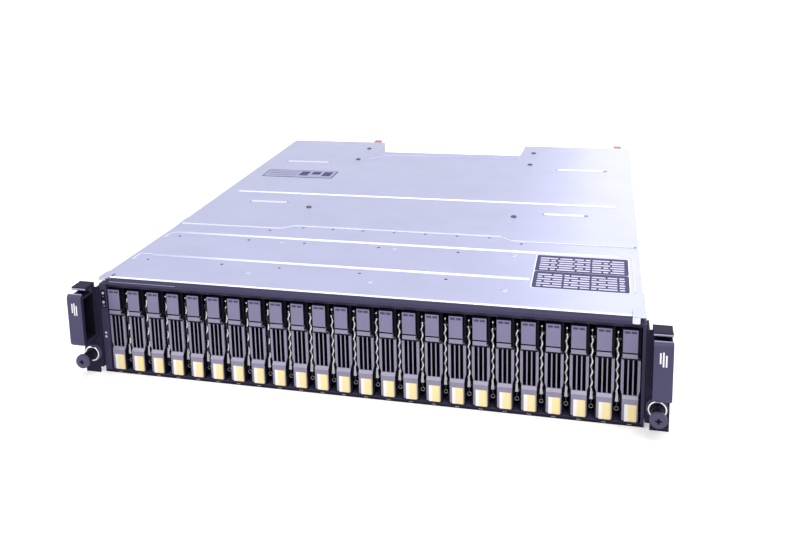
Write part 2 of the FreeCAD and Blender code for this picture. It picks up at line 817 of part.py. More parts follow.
# Shelf between the two controllers, lipped against the bay walls
shelf = new_body("controller_shelf")
SHELF_TOP = f"({SHELF_UNDER} + shelf_sheet)"
SHELF_BACK = f"({NOTCH_START} - rim_width)"
shelf_plate = rectangle(f"0 - {BAY_WALL_IN}", BAY_WALL_IN, SHELF_UNDER, SHELF_TOP)
pad(shelf, "XZ", [shelf_plate], from_front("module_front + shelf_lip"), SHELF_BACK)
keep(shelf, "controller_shelf")

# Rack ears: a joggled steel bracket with a moulded cover on its flange
EAR_OUT = "(rack_width / 2)"
WEB_IN = f"({FRAME_HALF} + ear_gap)"
FLANGE_FRONT = from_front("0 - flange_front")
FLANGE_BACK = from_front("ear_sheet - flange_front")
THUMB_X = f"({EAR_OUT} - rack_hole_inset)"
COVER_IN = f"({EAR_OUT} - ear_cover_width)"
for side, sign in SIDES.items():
    bracket = new_body(f"ear_bracket_{side}")
    web = [
        (EAR_OUT, FLANGE_FRONT),
        (WEB_IN, FLANGE_FRONT),
        (WEB_IN, from_front("frame_depth + 1")),
        (PAN_HALF, from_front("frame_depth + 3")),
        (PAN_HALF, from_front("web_end")),
        (f"{PAN_HALF} + ear_sheet", from_front("web_end")),
        (f"{PAN_HALF} + ear_sheet", from_front("frame_depth + 4")),
        (f"{WEB_IN} + ear_sheet", from_front("frame_depth + 2")),
        (f"{WEB_IN} + ear_sheet", FLANGE_BACK),
        (EAR_OUT, FLANGE_BACK),
    ]
    pad(bracket, "XY", [[(f"({x}) * {sign}", y) for x, y in web]], "web_low", "web_high")
    flange = [
        (f"{WEB_IN} + ear_sheet * 2", "ear_low"),
        (EAR_OUT, "ear_low"),
        (EAR_OUT, "ear_high"),
        (COVER_IN, "ear_high"),
        (f"{WEB_IN} + ear_sheet * 2", "web_high - ear_sheet"),
    ]
    pad(bracket, "XZ", [[(f"({x}) * {sign}", z) for x, z in flange]], FLANGE_FRONT, FLANGE_BACK)
    thumb_spot = (f"{THUMB_X} * {sign}", "thumb_height")
    ferrule = disc(*thumb_spot, "ferrule_radius")
    pad(bracket, "XZ", [ferrule], f"{FLANGE_FRONT} - ferrule_height", f"{FLANGE_FRONT} + ear_sheet / 2")
    bore = eight_sided(*thumb_spot, "ferrule_bore")
    pocket(bracket, "XZ", [bore], f"{FLANGE_FRONT} - ferrule_height - 1", f"{FLANGE_BACK} + 1")
    keep(bracket, f"ear_bracket_{side}")

    shell = new_body(f"ear_cover_{side}")
    FACE = f"({FLANGE_FRONT} - ear_cover_depth)"
    TAB = f"({FLANGE_FRONT} - ear_tab_depth)"
    profile = [
        (FLANGE_FRONT, "ear_cover_low"),
        (f"{FACE} + ear_bevel", "ear_cover_low"),
        (FACE, "ear_cover_low + ear_bevel"),
        (FACE, "ear_cover_high - ear_bevel"),
        (f"{FACE} + ear_bevel", "ear_cover_high"),
        (f"{FACE} + ear_bevel + ear_lip", "ear_cover_high"),
        (f"{FACE} + ear_bevel + ear_lip", "ear_cover_high - ear_trough"),
        (f"{FLANGE_FRONT} - ear_stalk", "ear_cover_high - ear_trough"),
        (f"{FLANGE_FRONT} - ear_stalk", "ear_high - ear_tab_sheet"),
        (TAB, "ear_high - ear_tab_sheet"),
        (TAB, "ear_high"),
        (FLANGE_FRONT, "ear_high"),
    ]
    low, high = (COVER_IN, EAR_OUT) if sign > 0 else (f"0 - {EAR_OUT}", f"0 - {COVER_IN}")
    pad(shell, "YZ", [profile], low, high)
    grip = rectangle(
        f"{FACE} + ear_wall + ear_bevel",
        f"{FLANGE_FRONT} - ear_wall",
        "ear_cover_low + ear_wall * 2",
        "ear_cover_high - ear_trough - ear_wall",
    )
    if sign > 0:
        pocket(shell, "YZ", [grip], f"{COVER_IN} - 1", f"{EAR_OUT} - ear_wall")
    else:
        pocket(shell, "YZ", [grip], f"ear_wall - {EAR_OUT}", f"1 - {COVER_IN}")
    keep(shell, f"ear_cover_{side}")

    thumb = new_body(f"thumbscrew_{side}")
    NECK = "(0 - ferrule_height - fit)"
    half = [
        ("0", f"{NECK} - thumb_length"),
        ("thumb_radius", f"{NECK} - thumb_length"),
        ("thumb_radius", NECK),
        ("0", NECK),
    ]
    turn(thumb, half)
    neck = eight_sided("0", "0", "thumb_neck")
    pad(thumb, "XZ", [neck], f"{NECK} - 1", "ear_sheet + 1")
    pad(thumb, "XZ", [disc("0", "0", "thumb_shank")], "ear_sheet", "thumb_reach")
    put(thumb, f"{THUMB_X} * {sign}", FLANGE_FRONT, "thumb_height")
    keep(thumb, f"thumbscrew_{side}")

# Carrier sled: a front block and two rails that hold the disk by its edges
sled = new_body("sled")
BLOCK_FRONT = from_front("block_front")
BLOCK_BACK = from_front("block_back")
SLED_HALF = "(sled_width / 2)"
sled_block = rectangle("0 - block_half", "block_half", "carrier_floor", CARRIER_TOP)
pad(sled, "XZ", [sled_block], BLOCK_FRONT, BLOCK_BACK)
rails = [
    rectangle(f"0 - {SLED_HALF}", SLED_HALF, "carrier_floor", "carrier_floor + sled_rail"),
    rectangle(f"0 - {SLED_HALF}", SLED_HALF, f"{CARRIER_TOP} - sled_rail", CARRIER_TOP),
]
pad(sled, "XZ", rails, f"{BLOCK_BACK} - 1", from_front("sled_end"))
FOOT_HALF = "(foot_half + fit)"
cheeks = [
    rectangle(FOOT_HALF, "block_half", "carrier_floor", "carrier_floor + cheek_height"),
    rectangle("0 - block_half", f"0 - {FOOT_HALF}", "carrier_floor", "carrier_floor + cheek_height"),
]
pad(sled, "XZ", cheeks, from_front("cheek_front"), f"{BLOCK_FRONT} + 1")
TILE_TOP = f"({CARRIER_TOP} - tile_drop)"
TILE_LOW = f"({TILE_TOP} - tile_height)"
BAR_TOP = f"({TILE_LOW} - bar_gap)"
BAR_LOW = f"({BAR_TOP} - bar_height)"
GRILLE_LOW = "(carrier_floor + grille_low)"
LEDGE_LOW = "(carrier_floor + ledge_low)"
window = rectangle("0 - window_half", "window_half", GRILLE_LOW, BAR_LOW)
pocket(sled, "XZ", [window], BLOCK_FRONT, BLOCK_BACK)
TILE_LEFT = "(0 - tile_half - tile_shift)"
TILE_RIGHT = "(tile_half - tile_shift)"
well = rectangle(f"{TILE_LEFT} - fit", f"{TILE_RIGHT} + fit", f"{TILE_LOW} - fit", f"{TILE_TOP} + fit")
pocket(sled, "XZ", [well], BLOCK_FRONT, from_front("well_end"))
foot_room = rectangle(f"0 - {FOOT_HALF}", FOOT_HALF, "carrier_floor - 1", GRILLE_LOW)
pocket(sled, "XZ", [foot_room], BLOCK_FRONT, from_front("pivot_radius * 2 + fit * 2"))

# Disk on edge
disk = new_body("disk")
DISK_HALF = "(sled_width / 2 - disk_side_gap)"
DISK_LOW = "(carrier_floor + sled_rail + disk_rail_gap)"
DISK_HIGH = f"({CARRIER_TOP} - sled_rail - disk_rail_gap)"
DISK_FRONT = from_front("disk_start")
DISK_BACK = from_front(DISK_END)
pad(disk, "XZ", [rectangle(f"0 - {DISK_HALF}", DISK_HALF, DISK_LOW, DISK_HIGH)], DISK_FRONT, DISK_BACK)

# Contact spring that stands off the left side of each carrier on two feet
spring = new_body("contact_spring")
SPRING_LOW = "(carrier_floor + spring_low)"
SPRING_HIGH = f"({CARRIER_TOP} - spring_high)"
SPRING_OUT = "(0 - block_half - spring_reach)"
strip = [
    ("0 - block_half", SPRING_LOW),
    (SPRING_OUT, SPRING_LOW),
    (SPRING_OUT, SPRING_HIGH),
    ("0 - block_half", SPRING_HIGH),
    ("0 - block_half", f"{SPRING_HIGH} - spring_foot"),
    (f"{SPRING_OUT} + spring_sheet", f"{SPRING_HIGH} - spring_foot"),
    (f"{SPRING_OUT} + spring_sheet", f"{SPRING_LOW} + spring_foot"),
    ("0 - block_half", f"{SPRING_LOW} + spring_foot"),
]
pad(spring, "XZ", [strip], from_front("spring_front"), from_front("spring_back"))

# Release button
button = new_body("release_button")
tile = rectangle(TILE_LEFT, TILE_RIGHT, TILE_LOW, TILE_TOP)
pad(button, "XZ", [tile], FRONT, from_front("tile_depth"))

# Swinging grille handle, pivoted at its foot
handle = new_body("grille_handle")
PIVOT_Z = "(carrier_floor + pivot_rise)"
PIVOT_Y = from_front("pivot_radius")
PLATE_BACK = from_front("handle_sink + handle_plate")
handle_profile = [
    (FRONT, f"{PIVOT_Z} - foot_front"),
    (f"{PIVOT_Y} - foot_corner", f"{PIVOT_Z} - foot_drop"),
    (PIVOT_Y, f"{PIVOT_Z} - foot_drop"),
    (from_front("pivot_radius * 2"), f"{PIVOT_Z} - foot_heel"),
    (from_front("pivot_radius * 2"), f"{PIVOT_Z} + pivot_radius"),
    (PLATE_BACK, f"{LEDGE_LOW} - pivot_radius"),
    (PLATE_BACK, BAR_TOP),
    (FRONT, BAR_TOP),
    (FRONT, BAR_LOW),
    (from_front("handle_sink"), f"{BAR_LOW} - shoulder_drop / 2"),
    (from_front("handle_sink"), GRILLE_LOW),
    (FRONT, LEDGE_LOW),
]
pad(handle, "YZ", [handle_profile], "0 - block_half", "block_half")
trims = []
for sign, bar_end in ((-1, TILE_LEFT), (1, TILE_RIGHT)):
    trims.append([
        (bar_end, f"{BAR_TOP} + 1"),
        (bar_end, BAR_LOW),
        (f"block_half * {sign}", f"{BAR_LOW} - shoulder_drop"),
        (f"block_half * {sign}", "carrier_floor + taper_high"),
        (f"foot_half * {sign}", GRILLE_LOW),
        (f"foot_half * {sign}", "carrier_floor"),
        (f"(block_half + 1) * {sign}", "carrier_floor"),
        (f"(block_half + 1) * {sign}", f"{BAR_TOP} + 1"),
    ])
pocket(handle, "XZ", trims, f"{FRONT} - 1", from_front("pivot_radius * 2 + 1"))
slots = []
for step in (-1, 0, 1):
    middle = f"(grille_slot + grille_bar) * {step}"
    across = (f"{middle} - grille_slot / 2", f"{middle} + grille_slot / 2")
    slots.append(rectangle(*across, f"{GRILLE_LOW} + fit", f"{BAR_LOW} - shoulder_drop / 2"))
pocket(handle, "XZ", slots, FRONT, f"{PLATE_BACK} + 1")

# The last carrier has its handle and button free to move on a pin
MOVING_BAY = BAYS
hole_start = ("0 - block_half - 1", PIVOT_Y, PIVOT_Z)
hole = rod("pin_hole", "X", "pin_radius + pin_slack", *hole_start, "block_half * 2 + 2")
pin = rod("handle_pin", "X", "pin_radius", "0 - block_half", PIVOT_Y, PIVOT_Z, "block_half * 2")
bored_sled = cut("bored_sled", sled, hole)
bored_handle = cut("bored_handle", handle, hole)
for bay in range(1, BAYS + 1):
    label = f"carrier_{bay:02d}"
    solids = [sled, disk, button, handle]
    if bay == MOVING_BAY:
        solids = [bored_sled, disk, pin]
    if bay > 1:
        solids.append(spring)
    keep(group(label, solids, bay_centre(bay)), label)
keep(group("carrier_handle", [bored_handle], bay_centre(MOVING_BAY)), "carrier_handle")
keep(group("carrier_button", [button], bay_centre(MOVING_BAY)), "carrier_button")

# Power module case: open towards the midplane, fan tunnel at the back
PSU_LOW = "psu_floor"
PSU_HIGH = "psu_roof"
PSU_MIDDLE = f"(({PSU_LOW} + {PSU_HIGH}) / 2)"
MODULE_FRONT = from_front("module_front")
PSU_PANEL = f"({REAR} - panel_sheet)"
FAN_X = "fan_x"
case = new_body("psu_shell")
pad(case, "XZ", [rectangle(f"0 - {PSU_HALF}", PSU_HALF, PSU_LOW, PSU_HIGH)], MODULE_FRONT, REAR)
inside = rectangle(
    f"case_sheet - {PSU_HALF}",
    f"{PSU_HALF} - case_sheet",
    f"{PSU_LOW} + case_sheet",
    f"{PSU_HIGH} - case_sheet",
)
pocket(case, "XZ", [inside], MODULE_FRONT, PSU_PANEL)
FAN_REACH = "(fan_opening + shroud_wall)"
shroud = rectangle(
    f"{FAN_X} - {FAN_REACH}",
    f"{FAN_X} + {FAN_REACH}",
    f"{PSU_MIDDLE} - {FAN_REACH}",
    f"{PSU_MIDDLE} + {FAN_REACH}",
)
pad(case, "XZ", [shroud], f"{PSU_PANEL} - shroud_depth", f"{PSU_PANEL} + panel_sheet / 2")
INLET_X = "(0 - inlet_x)"
inlet_cut = rectangle(
    f"{INLET_X} - inlet_half_width - light_slack",
    f"{INLET_X} + inlet_half_width + light_slack",
    "inlet_z - inlet_half_height - light_slack",
    "inlet_z + inlet_half_height + light_slack",
)
LATCH_MIDDLE = "((latch_low + latch_high) / 2)"
latch_slot = rectangle(
    "latch_x - latch_stem - latch_travel - fit",
    "latch_x + latch_stem + fit",
    f"{LATCH_MIDDLE} - latch_stem - fit",
    f"{LATCH_MIDDLE} + latch_stem + fit",
)
pocket(case, "XZ", [inlet_cut, latch_slot], PSU_PANEL, REAR)
tunnel = disc(FAN_X, PSU_MIDDLE, "fan_opening")
pocket(case, "XZ", [tunnel], f"{PSU_PANEL} - shroud_depth", REAR)
GUARD_REACH = "(fan_opening + shroud_wall / 2)"
bar_one = block(
    "guard_bar_across",
    f"{FAN_X} - {GUARD_REACH}",
    f"{FAN_X} + {GUARD_REACH}",
    PSU_PANEL,
    REAR,
    f"{PSU_MIDDLE} - guard_bar / 2",
    f"{PSU_MIDDLE} + guard_bar / 2",
)
bar_two = block(
    "guard_bar_upright",
    f"{FAN_X} - guard_bar / 2",
    f"{FAN_X} + guard_bar / 2",
    PSU_PANEL,
    REAR,
    f"{PSU_MIDDLE} - {GUARD_REACH}",
    f"{PSU_MIDDLE} + {GUARD_REACH}",
)
boss_start = (FAN_X, f"{PSU_PANEL} - panel_sheet", PSU_MIDDLE)
boss = eight_sided_rod("guard_boss", "guard_boss", *boss_start, "panel_sheet * 2")
guarded = joined("guarded_case", [case, bar_one, bar_two, boss])
shaft_hole = rod(
    "shaft_hole",
    "Y",
    "shaft_radius + shaft_slack",
    FAN_X,
    f"{PSU_PANEL} - panel_sheet - 1",
    PSU_MIDDLE,
    "panel_sheet * 1.5 + 1",
)
psu_case = cut("psu_case", guarded, shaft_hole)

# Power inlet with a cornered socket
inlet = new_body("psu_inlet")
seat = rectangle(
    f"{INLET_X} - inlet_half_width",
    f"{INLET_X} + inlet_half_width",
    "inlet_z - inlet_half_height",
    "inlet_z + inlet_half_height",
)
pad(inlet, "XZ", [seat], f"{REAR} - inlet_depth", f"{REAR} + inlet_flange / 2")
flange = rectangle(
    f"{INLET_X} - inlet_half_width - inlet_flange",
    f"{INLET_X} + inlet_half_width + inlet_flange",
    "inlet_z - inlet_half_height - inlet_flange",
    "inlet_z + inlet_half_height + inlet_flange",
)
pad(inlet, "XZ", [flange], REAR, f"{REAR} + inlet_flange")
SOCKET_HALF = "(inlet_half_width - inlet_wall)"
SOCKET_TALL = "(inlet_half_height - inlet_wall)"
socket = [
    (f"{INLET_X} - {SOCKET_HALF}", f"inlet_z - {SOCKET_TALL}"),
    (f"{INLET_X} + {SOCKET_HALF} - inlet_corner", f"inlet_z - {SOCKET_TALL}"),
    (f"{INLET_X} + {SOCKET_HALF}", f"inlet_z - {SOCKET_TALL} + inlet_corner"),
    (f"{INLET_X} + {SOCKET_HALF}", f"inlet_z + {SOCKET_TALL} - inlet_corner"),
    (f"{INLET_X} + {SOCKET_HALF} - inlet_corner", f"inlet_z + {SOCKET_TALL}"),
    (f"{INLET_X} - {SOCKET_HALF}", f"inlet_z + {SOCKET_TALL}"),
]
pocket(inlet, "XZ", [socket], f"{REAR} - inlet_depth + inlet_floor", f"{REAR} + inlet_flange + 1")

# Fan rotor: a hub, a shaft and seven slanted blades that widen outwards
BLADES = 7
HUB_SIDES = 21
BLADE_PITCH = 45
fan = new_body("psu_fan")
HUB_BACK = f"({PSU_PANEL} - panel_sheet - fit)"
HUB_FRONT = f"({HUB_BACK} - hub_depth)"
pad(fan, "XZ", [many_sided("hub_radius", HUB_SIDES)], HUB_FRONT, HUB_BACK)
pad(fan, "XZ", [disc("0", "0", "shaft_radius")], f"{HUB_BACK} - 1", f"{PSU_PANEL} + panel_sheet / 4")
BLADE_ROOT = "hub_radius * 0.8"
planform = [
    (BLADE_ROOT, "0 - blade_root_half"),
    ("blade_tip", "0 - blade_tip_half"),
    ("blade_tip", "blade_tip_half"),
    (BLADE_ROOT, "blade_root_half"),
]
blade_outline = new_sketch(fan, "XY", [planform], "0")
tilt = FreeCAD.Rotation(FreeCAD.Vector(1, 0, 0), BLADE_PITCH)
blade_outline.AttachmentOffset = FreeCAD.Placement(FreeCAD.Vector(), tilt)
bind(blade_outline, AttachmentOffset_Base_y=f"({HUB_FRONT} + {HUB_BACK}) / 2")
blade = fan.newObject("PartDesign::Pad", "blade")
blade.Profile = blade_outline
bind(blade, Length="blade_sheet")
blades = fan.newObject("PartDesign::PolarPattern", "blades")
blades.Originals = [blade]
blades.Axis = (origin_part(fan, "Y_Axis"), [""])
blades.Angle = 360
blades.Occurrences = BLADES
fan.Tip = blades

# Pull handle and release latch of the power module
pull = new_body("psu_pull")
pull_outline = [
    (REAR, "pull_low"),
    (f"{REAR} + pull_reach - pull_bar", "pull_low"),
    (f"{REAR} + pull_reach", "pull_low + pull_bar"),
    (f"{REAR} + pull_reach", "pull_high - pull_bar"),
    (f"{REAR} + pull_reach - pull_bar", "pull_high"),
    (REAR, "pull_high"),
    (REAR, "pull_high - pull_bar"),
    (f"{REAR} + pull_reach - pull_bar", "pull_high - pull_bar"),
    (f"{REAR} + pull_reach - pull_bar", "pull_low + pull_bar"),
    (REAR, "pull_low + pull_bar"),
]
pad(pull, "YZ", [pull_outline], "pull_x - pull_half", "pull_x + pull_half")
latch = new_body("psu_latch")
tab = rectangle("latch_x - latch_half", "latch_x + latch_half", "latch_low", "latch_high")
pad(latch, "XZ", [tab], f"{REAR} + fit", f"{REAR} + latch_reach")
stem = rectangle(
    "latch_x - latch_stem",
    "latch_x + latch_stem",
    f"{LATCH_MIDDLE} - latch_stem",
    f"{LATCH_MIDDLE} + latch_stem",
)
pad(latch, "XZ", [stem], f"{PSU_PANEL} - latch_stem", f"{REAR} + latch_stem")
plate = rectangle(
    "latch_x - latch_stem",
    "latch_x + latch_plate",
    f"{LATCH_MIDDLE} - latch_stem * 1.5",
    f"{LATCH_MIDDLE} + latch_stem * 1.5",
)
pad(latch, "XZ", [plate], f"{PSU_PANEL} - fit - latch_stem", f"{PSU_PANEL} - fit")
for side, sign in SIDES.items():
    middle = f"{PSU_X} * {sign}"
    for name, item in (("case", psu_case), ("inlet", inlet), ("handle", pull), ("latch", latch)):
        keep(group(f"psu_{side}_{name}", [item], middle), f"psu_{side}_{name}")
    place = (f"{middle} + {FAN_X}", "0", PSU_MIDDLE)
    keep(group(f"psu_{side}_fan", [fan], *place), f"psu_{side}_fan")

# Controller case: open towards the midplane, ports and lever lugs at the back
CONTROLLER_BACK = NOTCH_START
CONTROLLER_PANEL = f"({CONTROLLER_BACK} - panel_sheet)"
PORTS = 4
CAGE_HALF = f"(port_pitch * {(PORTS - 1) / 2} + port_width / 2 + port_wall)"
LEVER_Y = f"({CONTROLLER_BACK} + lever_stand)"
LEVER_X = "(0 - lever_x)"
tray = new_body("controller_tray")
tray_edge = rectangle("0 - controller_half", "controller_half", "0", CONTROLLER_HEIGHT)
pad(tray, "XZ", [tray_edge], MODULE_FRONT, CONTROLLER_BACK)
hollow = rectangle(
    "case_sheet - controller_half",
    "controller_half - case_sheet",
    "case_sheet",
    f"{CONTROLLER_HEIGHT} - case_sheet",
)
pocket(tray, "XZ", [hollow], MODULE_FRONT, CONTROLLER_PANEL)
cage_cut = rectangle(
    f"port_x - {CAGE_HALF} - light_slack",
    f"port_x + {CAGE_HALF} + light_slack",
    "port_low - port_wall - light_slack",
    "port_low + port_height + port_wall + light_slack",
)
pocket(tray, "XZ", [cage_cut], CONTROLLER_PANEL, CONTROLLER_BACK)
lug = rectangle(
    f"{LEVER_X} - lug_half",
    f"{LEVER_X} + lug_half",
    f"{CONTROLLER_BACK} - panel_sheet / 2",
    f"{LEVER_Y} + lug_half",
)
LUG_LOW = "(lever_low - lug_gap - lug_sheet)"
LUG_HIGH = "(lever_high + lug_gap + lug_sheet)"
pad(tray, "XY", [lug], LUG_LOW, f"{LUG_LOW} + lug_sheet")
pad(tray, "XY", [lug], f"{LUG_HIGH} - lug_sheet", LUG_HIGH)
pad(tray, "XY", [disc(LEVER_X, LEVER_Y, "lever_pin")], LUG_LOW, LUG_HIGH)
cage = new_body("port_cage")
cage_edge = rectangle(
    f"port_x - {CAGE_HALF}",
    f"port_x + {CAGE_HALF}",
    "port_low - port_wall",
    "port_low + port_height + port_wall",
)
pad(cage, "XZ", [cage_edge], f"{CONTROLLER_BACK} - port_depth", f"{CONTROLLER_BACK} + port_proud")
mouths = []
for port in range(PORTS):
    middle = f"(port_x + port_pitch * {port - (PORTS - 1) / 2})"
    across = (f"{middle} - port_width / 2", f"{middle} + port_width / 2")
    mouths.append(rectangle(*across, "port_low", "port_low + port_height"))
PORT_FACE = f"({CONTROLLER_BACK} + port_proud)"
pocket(cage, "XZ", mouths, f"{PORT_FACE} - port_pocket", f"{PORT_FACE} + 1")
lever = new_body("controller_lever")
lever_outline = [
    (f"{LEVER_X} - lever_half", f"{LEVER_Y} - lever_corner"),
    (f"{LEVER_X} - lever_corner", f"{LEVER_Y} - lever_half"),
    (f"{LEVER_X} + lever_length", f"{LEVER_Y} - lever_half"),
    (f"{LEVER_X} + lever_length", f"{LEVER_Y} + lever_half"),
    (f"{LEVER_X} - lever_corner", f"{LEVER_Y} + lever_half"),
    (f"{LEVER_X} - lever_half", f"{LEVER_Y} + lever_corner"),
]
pad(lever, "XY", [lever_outline], "lever_low", "lever_high")
pocket(lever, "XY", [disc(LEVER_X, LEVER_Y, "lever_pin + pin_slack")], "lever_low - 1", "lever_high + 1")
for level, floor in (("lower", LOWER_FLOOR), ("upper", UPPER_FLOOR)):
    for name, item in (("case", tray), ("ports", cage), ("lever", lever)):
        label = f"controller_{level}_{name}"
        keep(group(label, [item], "0", "0", floor), label)

doc.recompute()
for item in doc.Objects:
    if "Invalid" in item.State or "Error" in item.State:
        raise RuntimeError(f"{item.Label} did not build: {item.State}")
for node in NODES:
    if node.Shape.isNull() or not node.Shape.isValid():
        raise RuntimeError(f"{node.Label} has no valid shape")
    node.Shape.exportStep(f"parts/{node.Label}.step")
print(len(NODES), "pieces written")
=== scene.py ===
"""Visual model of a rack disk enclosure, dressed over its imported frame."""

import logging
import math
from collections.abc import Callable, Iterable, Sequence
from dataclasses import dataclass, field
from enum import Enum

import bmesh
import bpy
from mathutils import Matrix, Vector


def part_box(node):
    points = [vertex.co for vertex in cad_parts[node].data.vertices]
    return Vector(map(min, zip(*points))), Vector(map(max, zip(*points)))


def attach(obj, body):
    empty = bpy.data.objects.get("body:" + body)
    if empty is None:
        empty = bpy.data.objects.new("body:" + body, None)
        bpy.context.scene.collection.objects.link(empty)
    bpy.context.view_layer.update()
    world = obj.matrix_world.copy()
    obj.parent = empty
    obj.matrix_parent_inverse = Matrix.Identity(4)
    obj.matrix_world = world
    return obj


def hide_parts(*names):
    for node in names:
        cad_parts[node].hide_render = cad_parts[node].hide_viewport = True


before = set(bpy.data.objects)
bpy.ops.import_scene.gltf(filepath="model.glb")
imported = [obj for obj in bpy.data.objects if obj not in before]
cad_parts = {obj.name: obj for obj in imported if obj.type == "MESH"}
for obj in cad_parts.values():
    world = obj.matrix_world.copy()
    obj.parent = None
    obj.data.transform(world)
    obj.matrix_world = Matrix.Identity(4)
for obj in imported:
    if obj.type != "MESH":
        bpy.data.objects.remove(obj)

log = logging.getLogger("disk_enclosure")

Pair = tuple[float, float]
Triple = tuple[float, float, float]
Profile = tuple[Pair, ...]
Socket = bpy.types.NodeSocket

CARRIER_COUNT = 24
MOVING_CARRIER = 24
SLED_HALF = 0.0076
RIDGE_HEIGHT = 0.001
SIDES = {"left": -1, "right": 1}
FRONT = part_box("front_frame")[0][1]
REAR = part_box("base_pan")[1][1]
COVER_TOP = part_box("top_cover")[1][2] - RIDGE_HEIGHT
LET_IN = 0.0003
PATTERN_MIDDLE = (0.3, 0.7)
BROAD_PATTERN = 60
FINE_DETAIL, BROAD_DETAIL = 4, 3
TINY_ROUND, LAMP_ROUND, SMALL_ROUND, FULL_ROUND = 16, 20, 24, 32
WELD_REACH = 0.000002
FLAT_ANGLE = math.radians(1)
EDGE_ANGLE = math.radians(30)


class Axis(Enum):
    """The direction in which an outline is drawn out, with the order of its coordinates."""

    X = (2, 0, 1)
    Y = (0, 2, 1)
    Z = (0, 1, 2)

    def place(self, u: float, v: float, level: float) -> Vector:
        """Turn two outline coordinates and a level into a point."""
        return Vector([(u, v, level)[index] for index in self.value])


class Rounding(Enum):
    """How far the edges of a kind of piece are broken, in metres."""

    SHEET = 0.00025
    MOULDED = 0.0006
    SMALL = 0.0002


class Graph:
    """A material's node tree, with short ways to add and link its nodes."""

    def __init__(self, material: bpy.types.Material) -> None:
        """Start from the material's own shader.

        Args:
            material: The material that takes the nodes.
        """
        material.use_nodes = True
        self.nodes = material.node_tree.nodes
        self.links = material.node_tree.links
        self.shader = self.nodes["Principled BSDF"]
        self.place = self.add("ShaderNodeTexCoord").outputs["Object"]

    def add(self, kind: str) -> bpy.types.Node:
        """Add one node."""
        return self.nodes.new(kind)

    def set(self, name: str, value: float | tuple[float, ...]) -> None:
        """Set one of the shader's own sockets."""
        self.shader.inputs[name].default_value = value

    def noise(self, scale: float, detail: float, stretch: Triple = (1, 1, 1)) -> Socket:
        """Add a cloud pattern in the object's own space.

        Args:
            scale: Pattern repeats in each metre.
            detail: Octaves of finer pattern.
            stretch: Factor on each axis, for a brushed grain.

        Returns:
            The pattern's output, from 0 to 1.
        """
        mapping = self.add("ShaderNodeMapping")
        mapping.inputs["Scale"].default_value = stretch
        self.links.new(self.place, mapping.inputs["Vector"])
        noise = self.add("ShaderNodeTexNoise")
        noise.inputs["Scale"].default_value = scale
        noise.inputs["Detail"].default_value = detail
        self.links.new(mapping.outputs["Vector"], noise.inputs["Vector"])
        return noise.outputs["Fac"]

    def spread(self, value: Socket, low: float, high: float, limits: Pair = PATTERN_MIDDLE) -> Socket:
        """Map part of a value's range onto another range.

        Args:
            value: The value's socket.
            low: Result at the lower limit.
            high: Result at the upper limit.
            limits: The limits, by default the middle of a pattern from 0 to 1.

        Returns:
            The mapped output.
        """
        node = self.add("ShaderNodeMapRange")
        for name, limit in zip(("From Min", "From Max", "To Min", "To Max"), (*limits, low, high)):
            node.inputs[name].default_value = limit
        self.links.new(value, node.inputs["Value"])
        return node.outputs["Result"]

    def tint(self, pattern: Socket, colour: Triple, change: float) -> None:
        """Vary the shader's colour with a pattern.

        Args:
            pattern: A pattern from 0 to 1.
            colour: The colour in the middle.
            change: Part of the colour that comes and goes.
        """
        mix = self.add("ShaderNodeMix")
        mix.data_type = "RGBA"
        mix.inputs["A"].default_value = (*[part * (1 - change) for part in colour], 1)
        mix.inputs["B"].default_value = (*[min(1, part * (1 + change)) for part in colour], 1)
        self.links.new(self.spread(pattern, 0, 1), mix.inputs["Factor"])
        self.links.new(mix.outputs["Result"], self.shader.inputs["Base Color"])

    def relief(self, pattern: Socket, strength: float, depth: float) -> None:
        """Raise the surface with a pattern.

        Args:
            pattern: A pattern from 0 to 1.
            strength: How much of the relief shows.
            depth: Height of the relief in metres.
        """
        bump = self.add("ShaderNodeBump")
        bump.inputs["Strength"].default_value = strength
        bump.inputs["Distance"].default_value = depth
        self.links.new(pattern, bump.inputs["Height"])
        self.links.new(bump.outputs["Normal"], self.shader.inputs["Normal"])


@dataclass(frozen=True)
class Finish:
    """One surface: its colour, its shine, and the grain of its material."""

    name: str
    colour: Triple
    roughness: float
    metallic: float = 0.0
    grain: float = 900.0
    stretch: Triple = (1, 1, 1)
    mottle: float = 0.05
    unevenness: float = 0.06
    relief: float = 0.15
    relief_depth: float = 0.00006
    coat: float = 0.0
    index: float = 1.5

    def material(self) -> bpy.types.Material:
        """Build the material once, and give the same one after that.

        Returns:
            The material.
        """
        title = f"{self.name}_finish"
        known = bpy.data.materials.get(title)
        if known:
            return known
        material = bpy.data.materials.new(title)
        graph = Graph(material)
        fine = graph.noise(self.grain, FINE_DETAIL, self.stretch)
        broad = graph.noise(self.grain / BROAD_PATTERN, BROAD_DETAIL)
        graph.tint(broad, self.colour, self.mottle)
        rough = graph.spread(fine, self.roughness - self.unevenness, self.roughness + self.unevenness)
        graph.links.new(rough, graph.shader.inputs["Roughness"])
        graph.relief(fine, self.relief, self.relief_depth)
        graph.set("Metallic", self.metallic)
        graph.set("Coat Weight", self.coat)
        graph.set("IOR", self.index)
        material.diffuse_color = (*self.colour, 1)
        return material


